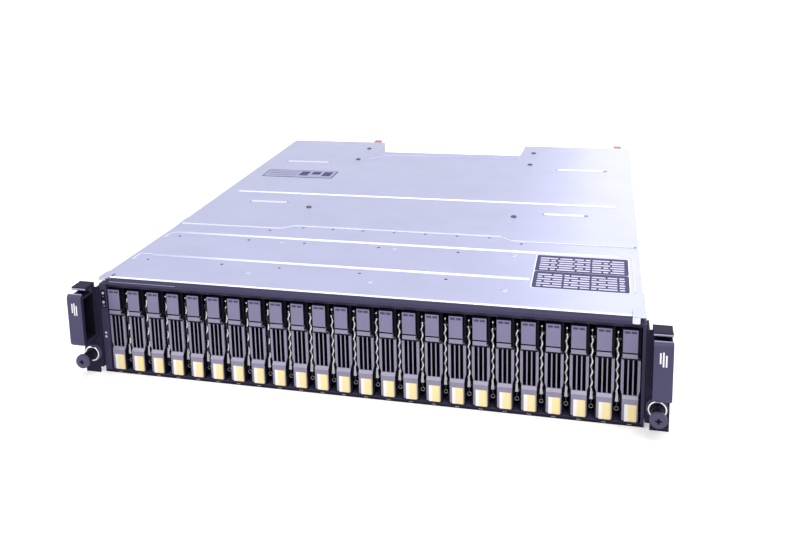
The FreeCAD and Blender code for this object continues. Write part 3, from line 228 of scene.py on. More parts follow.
GALVANISED = Finish("galvanised_sheet", (0.465, 0.482, 0.69), 0.34, 0.9, 1600, relief=0.1, mottle=0.03)
# Pale steel painted as highlight on front-facing sheet edges, the cover seam, slot walls, sticker edges and
# sheet corner tabs.
HIGHLIGHT_STEEL = Finish("painted_highlight_steel", (0.86, 0.86, 0.92), 0.4, 0.4, 1600, relief=0.05, mottle=0.02)
# Pale lines painted on the sheet: highlights where it steps, and a shade line along its right edge.
LINE_LIGHT_AND_SHADE = Finish("painted_step_light_and_shade", (0.60, 0.60, 0.76), 0.45, 0.0, 1600, relief=0.05, mottle=0.02)
INNER_STEEL = Finish("inner_steel", (0.50, 0.51, 0.56), 0.42, 0.9, 1600, relief=0.1)
COVER_SCREW = Finish("cover_screw", (0.105, 0.100, 0.155), 0.45, 0.3, 2500, index=1.3)
SCREW_STEEL = Finish("screw_steel", (0.52, 0.52, 0.58), 0.3, 1.0, 2500)
FRAME_BLACK = Finish("frame_black", (0.058, 0.054, 0.104), 0.40, 0.0, 2200, relief=0.2, index=1.15)
EAR_BLACK = Finish("ear_black", (0.074, 0.069, 0.136), 0.45, 0.0, 2400, relief=0.25, index=1.2)
# Dark paint of the ear brackets, also painted shade on the ear covers' upper tab and inner side.
EAR_PAINT_AND_SHADE = Finish("ear_paint_and_painted_shade", (0.028, 0.024, 0.050), 0.45, 0.0, 1800, relief=0.2, index=1.08)
# Pale paint for highlights on the edges of the frame's lip and the ear covers.
EDGE_HIGHLIGHT = Finish("painted_edge_highlight", (0.36, 0.34, 0.50), 0.42, 0.0, 2400, relief=0.1, index=1.3)
KNOB_BLACK = Finish("knob_black", (0.080, 0.075, 0.135), 0.42, 0.0, 2600, relief=0.2, index=1.25)
CHROME = Finish("bright_chrome", (0.86, 0.86, 0.88), 0.12, 1.0, 1500, unevenness=0.03, relief=0.03)
# Black of the sleds and guides, also painted shade in slots, the ears' pockets, the strip under each
# carrier's bar and behind vent holes.
SLED_BLACK_AND_SHADE = Finish("sled_black_and_painted_shade", (0.008, 0.007, 0.014), 0.5, 0.0, 2400, relief=0.2, index=1.2)
TILE_GREY = Finish("tile_grey", (0.203, 0.185, 0.312), 0.42, 0.1, 2400, relief=0.2)
GRILLE_GREY = Finish("grille_grey", (0.265, 0.243, 0.350), 0.4, 0.1, 2400, relief=0.2)
# Paler copy of the handle grey, painted as the highlight on up-facing ledges.
LEDGE_HIGHLIGHT_GREY = Finish("ledge_painted_highlight", (0.36, 0.33, 0.44), 0.4, 0.1, 2400, relief=0.2)
DISK_METAL = Finish("disk_metal", (0.50, 0.50, 0.53), 0.35, 1.0, 1200, (1, 8, 1))
SPRING_SILVER = Finish("spring_silver", (0.92, 0.91, 0.93), 0.3, 0.7, 9000, mottle=0.2, relief=0.05)
LABEL_WHITE = Finish("label_white", (0.93, 0.91, 0.87), 0.55, 0.0, 3000, relief=0.05, mottle=0.02)
LABEL_CREAM = Finish("label_cream", (0.95, 0.80, 0.44), 0.55, 0.0, 3000, relief=0.05, mottle=0.02)
LABEL_YELLOW = Finish("label_yellow", (0.93, 0.74, 0.24), 0.5, 0.0, 3000, relief=0.05, mottle=0.02)
# Dark sticker ground, also used as painted shadow at the ends of the cover's right slots.
STICKER_DARK_AND_SHADE = Finish("sticker_dark_and_painted_shade", (0.060, 0.056, 0.150), 0.5, 0.0, 3000, relief=0.05, index=1.15)
STICKER_PALE = Finish("sticker_pale", (0.62, 0.62, 0.78), 0.5, 0.0, 3000, relief=0.05, index=1.25)
STICKER_PLATE = Finish("sticker_plate", (0.31, 0.31, 0.47), 0.5, 0.3, 3000, relief=0.05)
PRINT_WHITE = Finish("print_white", (0.86, 0.86, 0.88), 0.5, 0.0, 3000, relief=0.02)
PRINT_GREY = Finish("print_grey", (0.42, 0.40, 0.50), 0.5, 0.0, 3000, relief=0.02)
# Near black painted as shade in cross recesses, on the knob's body and on the frame's bottom rail and light
# recess.
PAINTED_SHADE_DARK = Finish("painted_shade_dark", (0.012, 0.010, 0.024), 0.3, 0.0, 1500, relief=0.02, index=1.25)
LIGHT_SLIT = Finish("light_slit", (0.075, 0.066, 0.140), 0.4, 0.0, 1500, relief=0.02, index=1.2)
LENS_CLEAR = Finish("lens_clear", (0.62, 0.60, 0.70), 0.25, 0.0, 1500, relief=0.02, coat=0.4)
LENS_GREEN = Finish("lens_green", (0.05, 0.14, 0.12), 0.25, 0.0, 1500, relief=0.02, coat=0.4)
LENS_AMBER = Finish("lens_amber", (0.55, 0.25, 0.03), 0.2, 0.0, 1500, relief=0.02, coat=0.6)
BOARD_GREEN = Finish("board_green", (0.020, 0.110, 0.050), 0.45, 0.0, 500, mottle=0.25)
PLUG_BLACK = Finish("plug_black", (0.018, 0.018, 0.020), 0.5)
MODULE_STEEL = Finish("module_steel", (0.47, 0.48, 0.53), 0.4, 0.9, 1500, relief=0.1)
FAN_BLACK = Finish("fan_black", (0.016, 0.016, 0.019), 0.4)
# Black of the pulls and spring clips, also painted shade on the turned-away parts of the left bays' springs.
PULL_BLACK_AND_SHADE = Finish("pull_black", (0.025, 0.024, 0.030), 0.5, relief=0.3)
LATCH_ORANGE = Finish("latch_orange", (0.40, 0.075, 0.075), 0.42)
PORT_STEEL = Finish("port_steel", (0.62, 0.62, 0.64), 0.28, 1.0, 1800)
LEVER_GREY = Finish("lever_grey", (0.20, 0.20, 0.23), 0.42, 0.0)
PIN_BRASS = Finish("pin_brass", (0.66, 0.58, 0.42), 0.25, 1.0, 1500)


def circle(centre: Pair, radius: float, steps: int) -> list[Pair]:
    """Give points round a circle."""
    angles = [2 * math.pi * step / steps for step in range(steps)]
    return [(centre[0] + radius * math.cos(angle), centre[1] + radius * math.sin(angle)) for angle in angles]


def box_outline(low: Pair, high: Pair) -> list[Pair]:
    """Give the four corners of a rectangle in order."""
    return [low, (high[0], low[1]), high, (low[0], high[1])]


def plate_outline(low: Pair, high: Pair, corner: float, steps: int = 4) -> list[Pair]:
    """Give the outline of a plate with round corners.

    Args:
        low: Lowest corner.
        high: Highest corner.
        corner: Radius of the corners.
        steps: Points in each corner.

    Returns:
        The outline, in order.
    """
    centres = (
        (high[0] - corner, high[1] - corner),
        (low[0] + corner, high[1] - corner),
        (low[0] + corner, low[1] + corner),
        (high[0] - corner, low[1] + corner),
    )
    outline = []
    for quarter, (u, v) in enumerate(centres):
        for step in range(steps):
            angle = math.pi / 2 * (quarter + step / (steps - 1))
            outline.append((u + corner * math.cos(angle), v + corner * math.sin(angle)))
    return outline


def grown(low: Pair, high: Pair, margin: float) -> tuple[Pair, Pair]:
    """Move the corners of a rectangle outwards."""
    return (low[0] - margin, low[1] - margin), (high[0] + margin, high[1] + margin)


def slab(centre: Pair, half: Pair, corner: float = 0.0) -> list[Pair]:
    """Give the outline of a plate about its middle.

    Args:
        centre: Its middle.
        half: Half of its length and of its width.
        corner: Radius of its corners, where they are round.

    Returns:
        The outline, in order.
    """
    low = (centre[0] - half[0], centre[1] - half[1])
    high = (centre[0] + half[0], centre[1] + half[1])
    return plate_outline(low, high, corner) if corner else box_outline(low, high)


def levels(base: float, span: Pair) -> Pair:
    """Give the two levels of a span over a base."""
    return base + span[0], base + span[1]


class Shape:
    """The points and faces of a piece while it is being built."""

    HOOP_STEPS = 48
    HOOP_SIDES = 8

    def __init__(self) -> None:
        """Start with nothing."""
        self.points: list[Vector] = []
        self.faces: list[tuple[list[int], int, bool]] = []

    def ring(self, points: Iterable[Vector]) -> list[int]:
        """Add a loop of points.

        Args:
            points: The points, in order.

        Returns:
            Their numbers.
        """
        first = len(self.points)
        self.points.extend(points)
        return list(range(first, len(self.points)))

    def face(self, loop: Sequence[int], paint: int = 0, smooth: bool = False) -> None:
        """Add one face with its finish number."""
        self.faces.append((list(loop), paint, smooth))

    def bridge(self, one: list[int], other: list[int], paint: int = 0, smooth: bool = False) -> None:
        """Join two loops of the same length with a band of faces.

        Args:
            one: Numbers of the first loop's points.
            other: Numbers of the second loop's points.
            paint: Number of the finish.
            smooth: Whether the faces are shaded as one.
        """
        count = len(one)
        for index in range(count):
            after = (index + 1) % count
            self.face((one[index], one[after], other[after], other[index]), paint, smooth)

    def skin(self, rings: Sequence[list[int]], paint: int = 0, smooth: bool = False) -> None:
        """Join loops in their order and close the first and the last.

        Args:
            rings: Numbers of each loop's points.
            paint: Number of the finish.
            smooth: Whether the bands are shaded as one.
        """
        for one, other in zip(rings, rings[1:]):
            self.bridge(one, other, paint, smooth)
        self.face(rings[0], paint)
        self.face(rings[-1], paint)

    def prism(self, axis: Axis, outline: Sequence[Pair], low: float, high: float, paint: int = 0) -> None:
        """Draw a closed outline out between two levels.

        Args:
            axis: Direction that it is drawn out in.
            outline: Corner points across that direction.
            low: First level.
            high: Second level.
            paint: Number of the finish.
        """
        self.skin([self.ring(axis.place(u, v, level) for u, v in outline) for level in (low, high)], paint)

    def lathe(
        self,
        axis: Axis,
        centre: Pair,
        profile: Sequence[Pair],
        base: float,
        paint: int = 0,
        steps: int = FULL_ROUND,
    ) -> None:
        """Turn a profile about an axis and close its ends.

        Args:
            axis: Direction of the axis.
            centre: Place of the axis across that direction.
            profile: Radius of each point, and its level over the base.
            base: Level that the profile starts from.
            paint: Number of the finish.
            steps: Points round the axis.
        """
        rings = []
        for radius, level in profile:
            rings.append(self.ring(axis.place(u, v, base + level) for u, v in circle(centre, radius, steps)))
        self.skin(rings, paint, True)

    def ribbon(self, path: Sequence[Pair], width: float, low: float, high: float, paint: int = 0) -> None:
        """Lay a flat strip along a path on a level face.

        Args:
            path: Points along its middle.
            width: Width of the strip.
            low: Level of its underside.
            high: Level of its face.
            paint: Number of the finish.
        """
        rings = []
        for index, point in enumerate(path):
            before = Vector(path[max(index - 1, 0)])
            after = Vector(path[min(index + 1, len(path) - 1)])
            across = (after - before).normalized().orthogonal() * width / 2
            one, other = Vector(point) + across, Vector(point) - across
            corners = ((one, low), (other, low), (other, high), (one, high))
            rings.append(self.ring(Vector((*place, level)) for place, level in corners))
        self.skin(rings, paint)

    def hoop(self, axis: Axis, centre: Triple, radius: float, wire: float, paint: int = 0) -> None:
        """Bend a round wire into a hoop.

        Args:
            axis: Direction that the hoop faces.
            centre: Outline coordinates and level of its middle.
            radius: Radius at the middle of the wire.
            wire: Radius of the wire.
            paint: Number of the finish.
        """
        section = circle((radius, centre[2]), wire, self.HOOP_SIDES)
        rounds = [circle(centre[:2], reach, self.HOOP_STEPS) for reach, level in section]
        rings = []
        for step in range(self.HOOP_STEPS):
            sides = zip(rounds, section)
            rings.append(self.ring(axis.place(*points[step], level) for points, (reach, level) in sides))
        for one, other in zip(rings, rings[1:] + rings[:1]):
            self.bridge(one, other, paint, True)

    def cross(self, axis: Axis, centre: Pair, size: Pair, span: Pair, paint: int) -> None:
        """Lay the two bars of a screw's cross recess.

        Args:
            axis: Direction that the screw faces.
            centre: Place of its axis.
            size: Length and width of a bar.
            span: The two levels of the bars.
            paint: Number of the finish.
        """
        for length, width in (size, size[::-1]):
            self.prism(axis, slab(centre, (length / 2, width / 2)), *span, paint)

    def piece(
        self,
        name: str,
        body: str,
        finishes: Sequence[Finish],
        rounding: Rounding | None = None,
    ) -> bpy.types.Object:
        """Turn what was built into a piece that rides on a body.

        Args:
            name: Name of the piece.
            body: Body that it rides on.
            finishes: Finishes, in the order of their numbers.
            rounding: How far its edges are broken.

        Returns:
            The new object.
        """
        build = bmesh.new()
        corners = [build.verts.new(point) for point in self.points]
        for loop, paint, smooth in self.faces:
            made = build.faces.new([corners[index] for index in loop])
            made.material_index = paint
            made.smooth = smooth
        bmesh.ops.recalc_face_normals(build, faces=build.faces)
        mesh = bpy.data.meshes.new(name)
        build.to_mesh(mesh)
        build.free()
        for finish in finishes:
            mesh.materials.append(finish.material())
        made_piece = bpy.data.objects.new(name, mesh)
        bpy.context.scene.collection.objects.link(made_piece)
        if rounding:
            break_edges(made_piece, rounding)
        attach(made_piece, body)
        log.info("piece %s on %s", name, body)
        return made_piece


def break_edges(item: bpy.types.Object, rounding: Rounding) -> None:
    """Round an object's sharp edges without touching its own mesh.

    Args:
        item: The object.
        rounding: How far its edges are broken.
    """
    weld = item.modifiers.new("join_corners", "WELD")
    weld.merge_threshold = WELD_REACH
    flat = item.modifiers.new("join_flats", "DECIMATE")
    flat.decimate_type = "DISSOLVE"
    flat.angle_limit = FLAT_ANGLE
    flat.delimit = {"MATERIAL"}
    bevel = item.modifiers.new("break_edges", "BEVEL")
    bevel.width = rounding.value
    bevel.segments = 2
    bevel.limit_method = "ANGLE"
    bevel.angle_limit = EDGE_ANGLE
    bevel.harden_normals = True


def dress(node: str, finish: Finish, rounding: Rounding | None = None) -> bpy.types.Object:
    """Give a CAD node its finish and its broken edges.

    Args:
        node: Name of the node.
        finish: Its finish.
        rounding: How far its edges are broken.

    Returns:
        The node's object.
    """
    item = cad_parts[node]
    item.data.materials.clear()
    item.data.materials.append(finish.material())
    if rounding:
        break_edges(item, rounding)
    log.info("dressed %s", node)
    return item


def paint_zones(
    item: bpy.types.Object, finishes: Sequence[Finish], zone: Callable[[Vector, Vector], int]
) -> None:
    """Give parts of a CAD node other finishes.

    Args:
        item: The node's object.
        finishes: Finishes that come after its first one.
        zone: Gives the finish number of a face from its middle and its normal.
    """
    for finish in finishes:
        item.data.materials.append(finish.material())
    for polygon in item.data.polygons:
        polygon.material_index = zone(polygon.center, polygon.normal)


@dataclass
class Cabinet:
    """The sheet metal: pan, covers, walls, and what is fixed on the top.

    Lines are measured from the front, and spans from the face of the top sheet.
    """

    hem_lap: float = 0.0012
    hem_width: float = 0.0034
    hem_profile: Profile = ((0.0, -0.0002), (0.0003, 0.00024), (0.0009, 0.0004), (0.0026, 0.0004))
    hem_inset: Pair = (0.006, 0.007)
    seam_line: float = 0.1636
    seam_jog: float = 0.0105
    seam_reach: Triple = (0.2185, 0.1124, 0.1009)
    seam_width: float = 0.0034
    seam_span: Pair = (-LET_IN, 0.0006)
    crease_width: float = 0.0018
    crease_span: Pair = (-LET_IN, 0.0004)
    creases: tuple[Profile, ...] = (
        ((-0.2040, 0.1342), (-0.2085, 0.1340), (-0.2128, 0.1325), (-0.2150, 0.1262), (-0.2166, 0.1165)),
        ((-0.2040, 0.0682), (-0.2140, 0.0685), (-0.2172, 0.0672), (-0.2178, 0.0620), (-0.2175, 0.0516)),
        ((0.2167, 0.1320), (0.2169, 0.0524)),
        ((-0.0905, 0.4575), (-0.0870, 0.4630), (-0.0780, 0.4760), (-0.0680, 0.4818), (0.0865, 0.4837)),
    )
    slot_rows: tuple[Triple, ...] = ((0.1557, 0.2526, 0.0179), (0.1665, 0.4350, 0.0246))
    slot_half: float = 0.0030
    slot_corner: float = 0.00294
    slot_span: Pair = (-0.0010, 0.0001)
    spot_shift: float = 0.0012
    spot_profile: Profile = ((0.0016, -0.0002), (0.0016, 0.00018))
    fold_reach: Triple = (0.2200, 0.2238, 0.2206)
    fold_lines: Pair = (0.0150, 0.1580)
    fold_span: Pair = (-0.0009, 0.00005)
    bump_radius: float = 0.0032
    bump_height: float = 0.0005
    bump_base: float = 0.00002
    bump_rounds: tuple[float, ...] = (1.0, 0.86, 0.55, 0.2)
    bumps: Profile = (
        (-0.0984, 0.1234), (0.0097, 0.1234), (0.1174, 0.1234),
        (-0.1007, 0.0389), (0.0078, 0.0370), (0.1174, 0.0385),
    )
    pin_profile: Profile = ((0.0013, -LET_IN), (0.0013, 0.0), (0.00104, 0.0001))
    pin_line: float = 0.0546
    pins: tuple[float, ...] = (-0.2034, -0.0774, -0.0055)
    screw_profile: Profile = ((0.0029, -0.0005), (0.0029, 0.00055), (0.002465, 0.000935), (0.00145, 0.0011))
    screw_lines: tuple[float, ...] = (0.2395, 0.456, 0.5164)
    screw_offset: float = 0.1067
    screw_cross: Pair = (0.0032, 0.0007)
    cross_span: Pair = (0.0008, 0.00113)
    sticker_corner: float = 0.0015
    sticker_span: Pair = (-0.0004, 0.00015)
    print_span: Pair = (0.0001, 0.00018)
    halo: float = 0.0008
    halo_span: Pair = (-0.0004, 0.00006)
    pair_sides: Pair = (0.1375, 0.2128)
    pair_lines: Profile = ((0.0500, 0.0878), (0.0890, 0.1286))
    block_rows: int = 6
    block_margin: float = 0.0032
    block_least: float = 0.004
    block_growth: float = 0.0035
    block_gap: float = 0.0015
    block_rounds: Pair = (0.24, 0.05)
    label_low: Pair = (-0.202, 0.358)
    label_high: Pair = (-0.115, 0.391)
    label_border: float = 0.0013
    label_columns: int = 6
    stroke_pitch: float = 0.008
    stroke_start: float = 0.003
    stroke_columns: float = 2.8
    stroke_width: float = 0.0014
    stroke_span: Pair = (0.0001, 0.00021)
    mark_drop: float = 0.004
    mark_part: float = 0.75
    mark_depths: Triple = (0.019, 0.013, 0.019)
    mark_span: Pair = (0.00015, 0.00021)

    def build(self) -> None:
        """Dress the sheet metal and add what is on it."""
        for node in ("base_pan", "bay_top_panel", "top_cover"):
            dress(node, GALVANISED, Rounding.SHEET)
        for node in ("bay_wall_left", "bay_wall_right", "controller_shelf"):
            dress(node, INNER_STEEL)
        dress("drive_guides", SLED_BLACK_AND_SHADE)
        dress("midplane_board", BOARD_GREEN)
        dress("midplane_connectors", PLUG_BLACK)
        self.add_hem()
        self.add_seam_highlight()
        self.add_step_lines()
        self.add_slot_highlights()
        self.add_side_fold()
        self.add_bumps()
        self.add_pins()
        self.add_screws()
        self.add_sticker_pair()
        self.add_label()

    def lay(self, shape: Shape, outline: Sequence[Pair], span: Pair, paint: int = 0) -> None:
        """Lay a flat plate on the top sheet."""
        shape.prism(Axis.Z, outline, *levels(COVER_TOP, span), paint)

    def add_hem(self) -> None:
        """Lap a rolled hem from the front panel over the back of the frame's lip, painted bright as the
        highlight on that edge.
        """
        shape = Shape()
        low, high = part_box("bay_top_panel")
        lip_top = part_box("front_frame")[1][2]
        front = low[1] - self.hem_lap
        outline = [(front + along, lip_top + above) for along, above in self.hem_profile]
        outline.append((front + self.hem_width, COVER_TOP - LET_IN))
        shape.prism(Axis.X, outline, low[0] + self.hem_inset[0], high[0] - self.hem_inset[1])
        shape.piece("panel_hem", "chassis", [HIGHLIGHT_STEEL], Rounding.SMALL)

    def add_seam_highlight(self) -> None:
        """Fold an edge along the front of the rear cover, with its two jogs, painted bright as its
        highlight.
        """
        shape = Shape()
        end, outer, inner = self.seam_reach
        near = FRONT + self.seam_line
        far = near + self.seam_jog
        path = [(-end, near), (-outer, near), (-inner, far), (inner, far), (outer, near), (end, near)]
        shape.ribbon(path, self.seam_width, *levels(COVER_TOP, self.seam_span))
        shape.piece("cover_seam_highlight", "chassis", [HIGHLIGHT_STEEL], Rounding.SMALL)

    def add_step_lines(self) -> None:
        """Lay thin strips where the sheet steps along its sides and in front of the rear notch, painted as
        the steps' highlights and, at the right edge, as a shade line.
        """
        shape = Shape()
        for crease in self.creases:
            path = [(x, FRONT + line) for x, line in crease]
            shape.ribbon(path, self.crease_width, *levels(COVER_TOP, self.crease_span))
        shape.piece("painted_step_lines", "chassis", [LINE_LIGHT_AND_SHADE], Rounding.SMALL)

    def add_slot_highlights(self) -> None:
        """Fill the pressed slots of the cover with bars painted as the highlight on their walls, brighter on
        the right, with a painted shadow spot at the end of each right one.
        """
        shape = Shape()
        for sign in SIDES.values():
            for across, line, reach in self.slot_rows:
                middle = (sign * across, FRONT + line)
                outline = slab(middle, (reach + self.slot_half, self.slot_half), self.slot_corner)
                self.lay(shape, outline, self.slot_span, 0 if sign > 0 else 2)
                if sign > 0:
                    # The dark spot at the right end is painted shadow on the slot's end wall.
                    spot = (middle[0] + reach + self.spot_shift, middle[1])
                    shape.lathe(Axis.Z, spot, self.spot_profile, COVER_TOP, 1, TINY_ROUND)
        shape.piece("cover_slot_highlights", "chassis", [HIGHLIGHT_STEEL, STICKER_DARK_AND_SHADE, LINE_LIGHT_AND_SHADE])

    def add_side_fold(self) -> None:
        """Widen the front panel's left edge with a fold that tapers to the rear."""
        shape = Shape()
        inner, wide, narrow = self.fold_reach
        near, far = levels(FRONT, self.fold_lines)
        self.lay(shape, [(-inner, near), (-wide, near), (-narrow, far), (-inner, far)], self.fold_span)
        shape.piece("panel_side_fold", "chassis", [GALVANISED])

    def add_bumps(self) -> None:
        """Press low round bumps into the front panel."""
        shape = Shape()
        profile = [(self.bump_radius, -LET_IN)]
        for part in self.bump_rounds:
            profile.append((self.bump_radius * part, self.bump_base + self.bump_height * (1 - part**2)))
        for x, line in self.bumps:
            shape.lathe(Axis.Z, (x, FRONT + line), profile, COVER_TOP)
        shape.piece("panel_bumps", "chassis", [GALVANISED])

    def add_pins(self) -> None:
        """Set flat dark pin heads in the front panel."""
        shape = Shape()
        for x in self.pins:
            centre = (x, FRONT + self.pin_line)
            shape.lathe(Axis.Z, centre, self.pin_profile, COVER_TOP, 0, TINY_ROUND)
        shape.piece("panel_pins", "chassis", [STICKER_DARK_AND_SHADE])

    def add_screws(self) -> None:
        """Set domed screw heads with a cross recess where the cover is held, the recess painted dark as
        shade.
        """
        shape = Shape()
        for sign in SIDES.values():
            for line in self.screw_lines:
                centre = (sign * self.screw_offset, FRONT + line)
                shape.lathe(Axis.Z, centre, self.screw_profile, COVER_TOP, 0, SMALL_ROUND)
                shape.cross(Axis.Z, centre, self.screw_cross, levels(COVER_TOP, self.cross_span), 1)
        heads = shape.piece("cover_screw_heads", "chassis", [COVER_SCREW, PAINTED_SHADE_DARK])
        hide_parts("cover_screws")

    def add_sticker_pair(self) -> None:
        """Lay two dark plain stickers with rows of plain blocks near the right edge."""
        shape = Shape()
        left, right = self.pair_sides
        for index, (near, far) in enumerate(self.pair_lines):
            low, high = (left, FRONT + near), (right, FRONT + far)
            self.lay(shape, plate_outline(low, high, self.sticker_corner), self.sticker_span)
            # A bright rim round each sticker is a painted highlight on its edge.
            halo = plate_outline(*grown(low, high, self.halo), self.sticker_corner)
            self.lay(shape, halo, self.halo_span, 2)
            self.add_blocks(shape, low, high, index)
        shape.piece("sticker_pair", "chassis", [STICKER_DARK_AND_SHADE, STICKER_PALE, HIGHLIGHT_STEEL])

    def add_blocks(self, shape: Shape, low: Pair, high: Pair, shift: int) -> None:
        """Print rows of plain pale blocks on a sticker.

        Args:
            shape: Shape that takes them.
            low: Lowest corner of the sticker.
            high: Highest corner of the sticker.
            shift: Changes the lengths of the blocks.
        """
        low, high = grown(low, high, -self.block_margin)
        height = (high[1] - low[1]) / self.block_rows
        rounder, squarer = self.block_rounds
        for row in range(self.block_rows):
            start = low[0]
            base = low[1] + row * height
            step = 0
            while start < high[0] - self.block_least:
                length = self.block_least + self.block_growth * ((row * 2 + step * 3 + shift) % 4)
                end = min(start + length, high[0])
                corner = height * (squarer if (row + step) % 3 else rounder)
                block = plate_outline((start, base), (end, base + height / 2), corner)
                self.lay(shape, block, self.print_span, 1)
                start = end + self.block_gap
                step += 1

    def add_label(self) -> None:
        """Lay an outlined plain label with strokes and blocks on the left of the rear cover."""
        shape = Shape()
        low, high = ((x, FRONT + line) for x, line in (self.label_low, self.label_high))
        self.lay(shape, plate_outline(low, high, self.sticker_corner), self.sticker_span)
        low, high = grown(low, high, -self.label_border)
        self.lay(shape, box_outline(low, high), self.print_span, 1)
        column = (high[0] - low[0]) / self.label_columns
        top = high[1] - self.mark_drop
        for index, depth in enumerate(self.mark_depths):
            line = low[1] + self.stroke_pitch * (index + 1)
            path = [(low[0] + self.stroke_start, line), (low[0] + column * self.stroke_columns, line)]
            shape.ribbon(path, self.stroke_width, *levels(COVER_TOP, self.stroke_span))
            start = low[0] + column * (self.label_columns // 2 + index)
            mark = box_outline((start, top - depth), (start + column * self.mark_part, top))
            self.lay(shape, mark, self.mark_span)
        shape.piece("cover_label", "chassis", [STICKER_DARK_AND_SHADE, STICKER_PLATE])


@dataclass
class FrontFrame:
    """The moulded frame round the disk bays, with its lights and printed marks.

    Profiles and spans are measured from the frame's face.
    """

    column_x: float = -0.22065
    collar_profile: Profile = ((0.0017, 0.0004), (0.0017, -0.0002), (0.0012, -0.0003))
    dome_profile: Profile = (
        (0.0012, 0.0004), (0.00114, -0.0003), (0.001026, -0.000395),
        (0.000798, -0.000555), (0.000399, -0.00073875),
    )
    clear_levels: tuple[float, ...] = (0.0730, 0.0647, 0.0366, 0.0331)
    green_levels: tuple[float, ...] = (0.0612,)
    tick_half: Pair = (0.0006, 0.0003)
    tick_corner: float = 0.0002
    tick_spread: float = 0.00084
    tick_level: float = 0.0013
    mark_level: float = 0.0698
    print_span: Pair = (0.0001, -0.00005)
    recess_level: float = 0.0674
    recess_half: Pair = (0.0023, 0.0084)
    recess_corner: float = 0.00092
    rail_level: float = 0.00135
    rail_half: Pair = (0.2224, 0.00115)
    ground_span: Pair = (0.0001, -0.000025)
    corner_sheet: float = 0.0004
    corner_sunk: float = 0.0002
    corner_round: float = 0.0008
    corner_plates: tuple[Triple, ...] = ((-0.2238, -0.2150, 0.0160), (0.2137, 0.2236, 0.0160))
    corner_tabs: tuple[Triple, ...] = ((-0.2236, -0.2172, 0.0846), (0.2137, 0.2192, 0.0817))
    bead_reach: Pair = (-0.2140, -0.1520)
    bead_level: float = 0.0838
    bead_half: float = 0.0002

    def build(self) -> None:
        """Dress the frame and add its corners, painted lip highlight, lights and marks."""
        dress("front_frame", FRAME_BLACK, Rounding.SMALL)
        self.add_corners()
        self.add_lip_highlight()
        self.add_lights()
        self.add_marks()

    def add_corners(self) -> None:
        """Fold the corners of the sheet over the two upper corners of the frame."""
        shape = Shape()
        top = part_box("front_frame")[1][2]
        front = FRONT - self.corner_sheet
        for left, right, depth in self.corner_plates:
            outline = plate_outline((left, front), (right, FRONT + depth), self.corner_round)
            shape.prism(Axis.Z, outline, top - self.corner_sunk, top + self.corner_sheet)
        # The tabs on the front are painted bright as the highlight on the sheet's front edge.
        for left, right, low in self.corner_tabs:
            outline = plate_outline((left, low), (right, top + self.corner_sheet), self.corner_round)
            shape.prism(Axis.Y, outline, front, FRONT + self.corner_sunk, 1)
        shape.piece("sheet_corners", "chassis", [GALVANISED, HIGHLIGHT_STEEL], Rounding.SMALL)

    def add_lip_highlight(self) -> None:
        """Run a thin pale bead along the left of the lip, where its face turns back, as a painted highlight
        on that edge.
        """
        shape = Shape()
        half, level = self.bead_half, self.bead_level
        outline = [
            (FRONT + half, level - half),
            (FRONT - half, level - half / 2),
            (FRONT - half, level + half / 2),
            (FRONT + half, level + half),
        ]
        shape.prism(Axis.X, outline, *self.bead_reach)
        shape.piece("lip_painted_highlight", "chassis", [EDGE_HIGHLIGHT], Rounding.SMALL)

    def add_lights(self) -> None:
        """Set a domed lens in a thin collar at each light pipe."""
        shape = Shape()
        for paint, heights in enumerate((self.clear_levels, self.green_levels)):
            for height in heights:
                centre = (self.column_x, height)
                shape.lathe(Axis.Y, centre, self.collar_profile, FRONT, 2, SMALL_ROUND)
                shape.lathe(Axis.Y, centre, self.dome_profile, FRONT, paint, SMALL_ROUND)
        finishes = [LENS_CLEAR, LENS_GREEN, FRAME_BLACK]
        lenses = shape.piece("indicator_lenses", "chassis", finishes)
        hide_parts("light_pipes")

    def add_marks(self) -> None:
        """Print plain ticks under the carriers and by the lights, on a rail and a recess painted dark as
        shade.
        """
        shape = Shape()
        spots = []
        for number in range(1, CARRIER_COUNT + 1):
            for sign in SIDES.values():
                spots.append((carrier_centre(number) + sign * self.tick_spread, self.tick_level))
        spots.append((self.column_x, self.mark_level))
        for spot in spots:
            tick = slab(spot, self.tick_half, self.tick_corner)
            shape.prism(Axis.Y, tick, *levels(FRONT, self.print_span))
        # The rail and the recess grounds are painted shade.
        recess = slab((self.column_x, self.recess_level), self.recess_half, self.recess_corner)
        for ground in (recess, slab((0, self.rail_level), self.rail_half)):
            shape.prism(Axis.Y, ground, *levels(FRONT, self.ground_span), 1)
        shape.piece("frame_marks_and_shade", "chassis", [PRINT_GREY, PAINTED_SHADE_DARK])


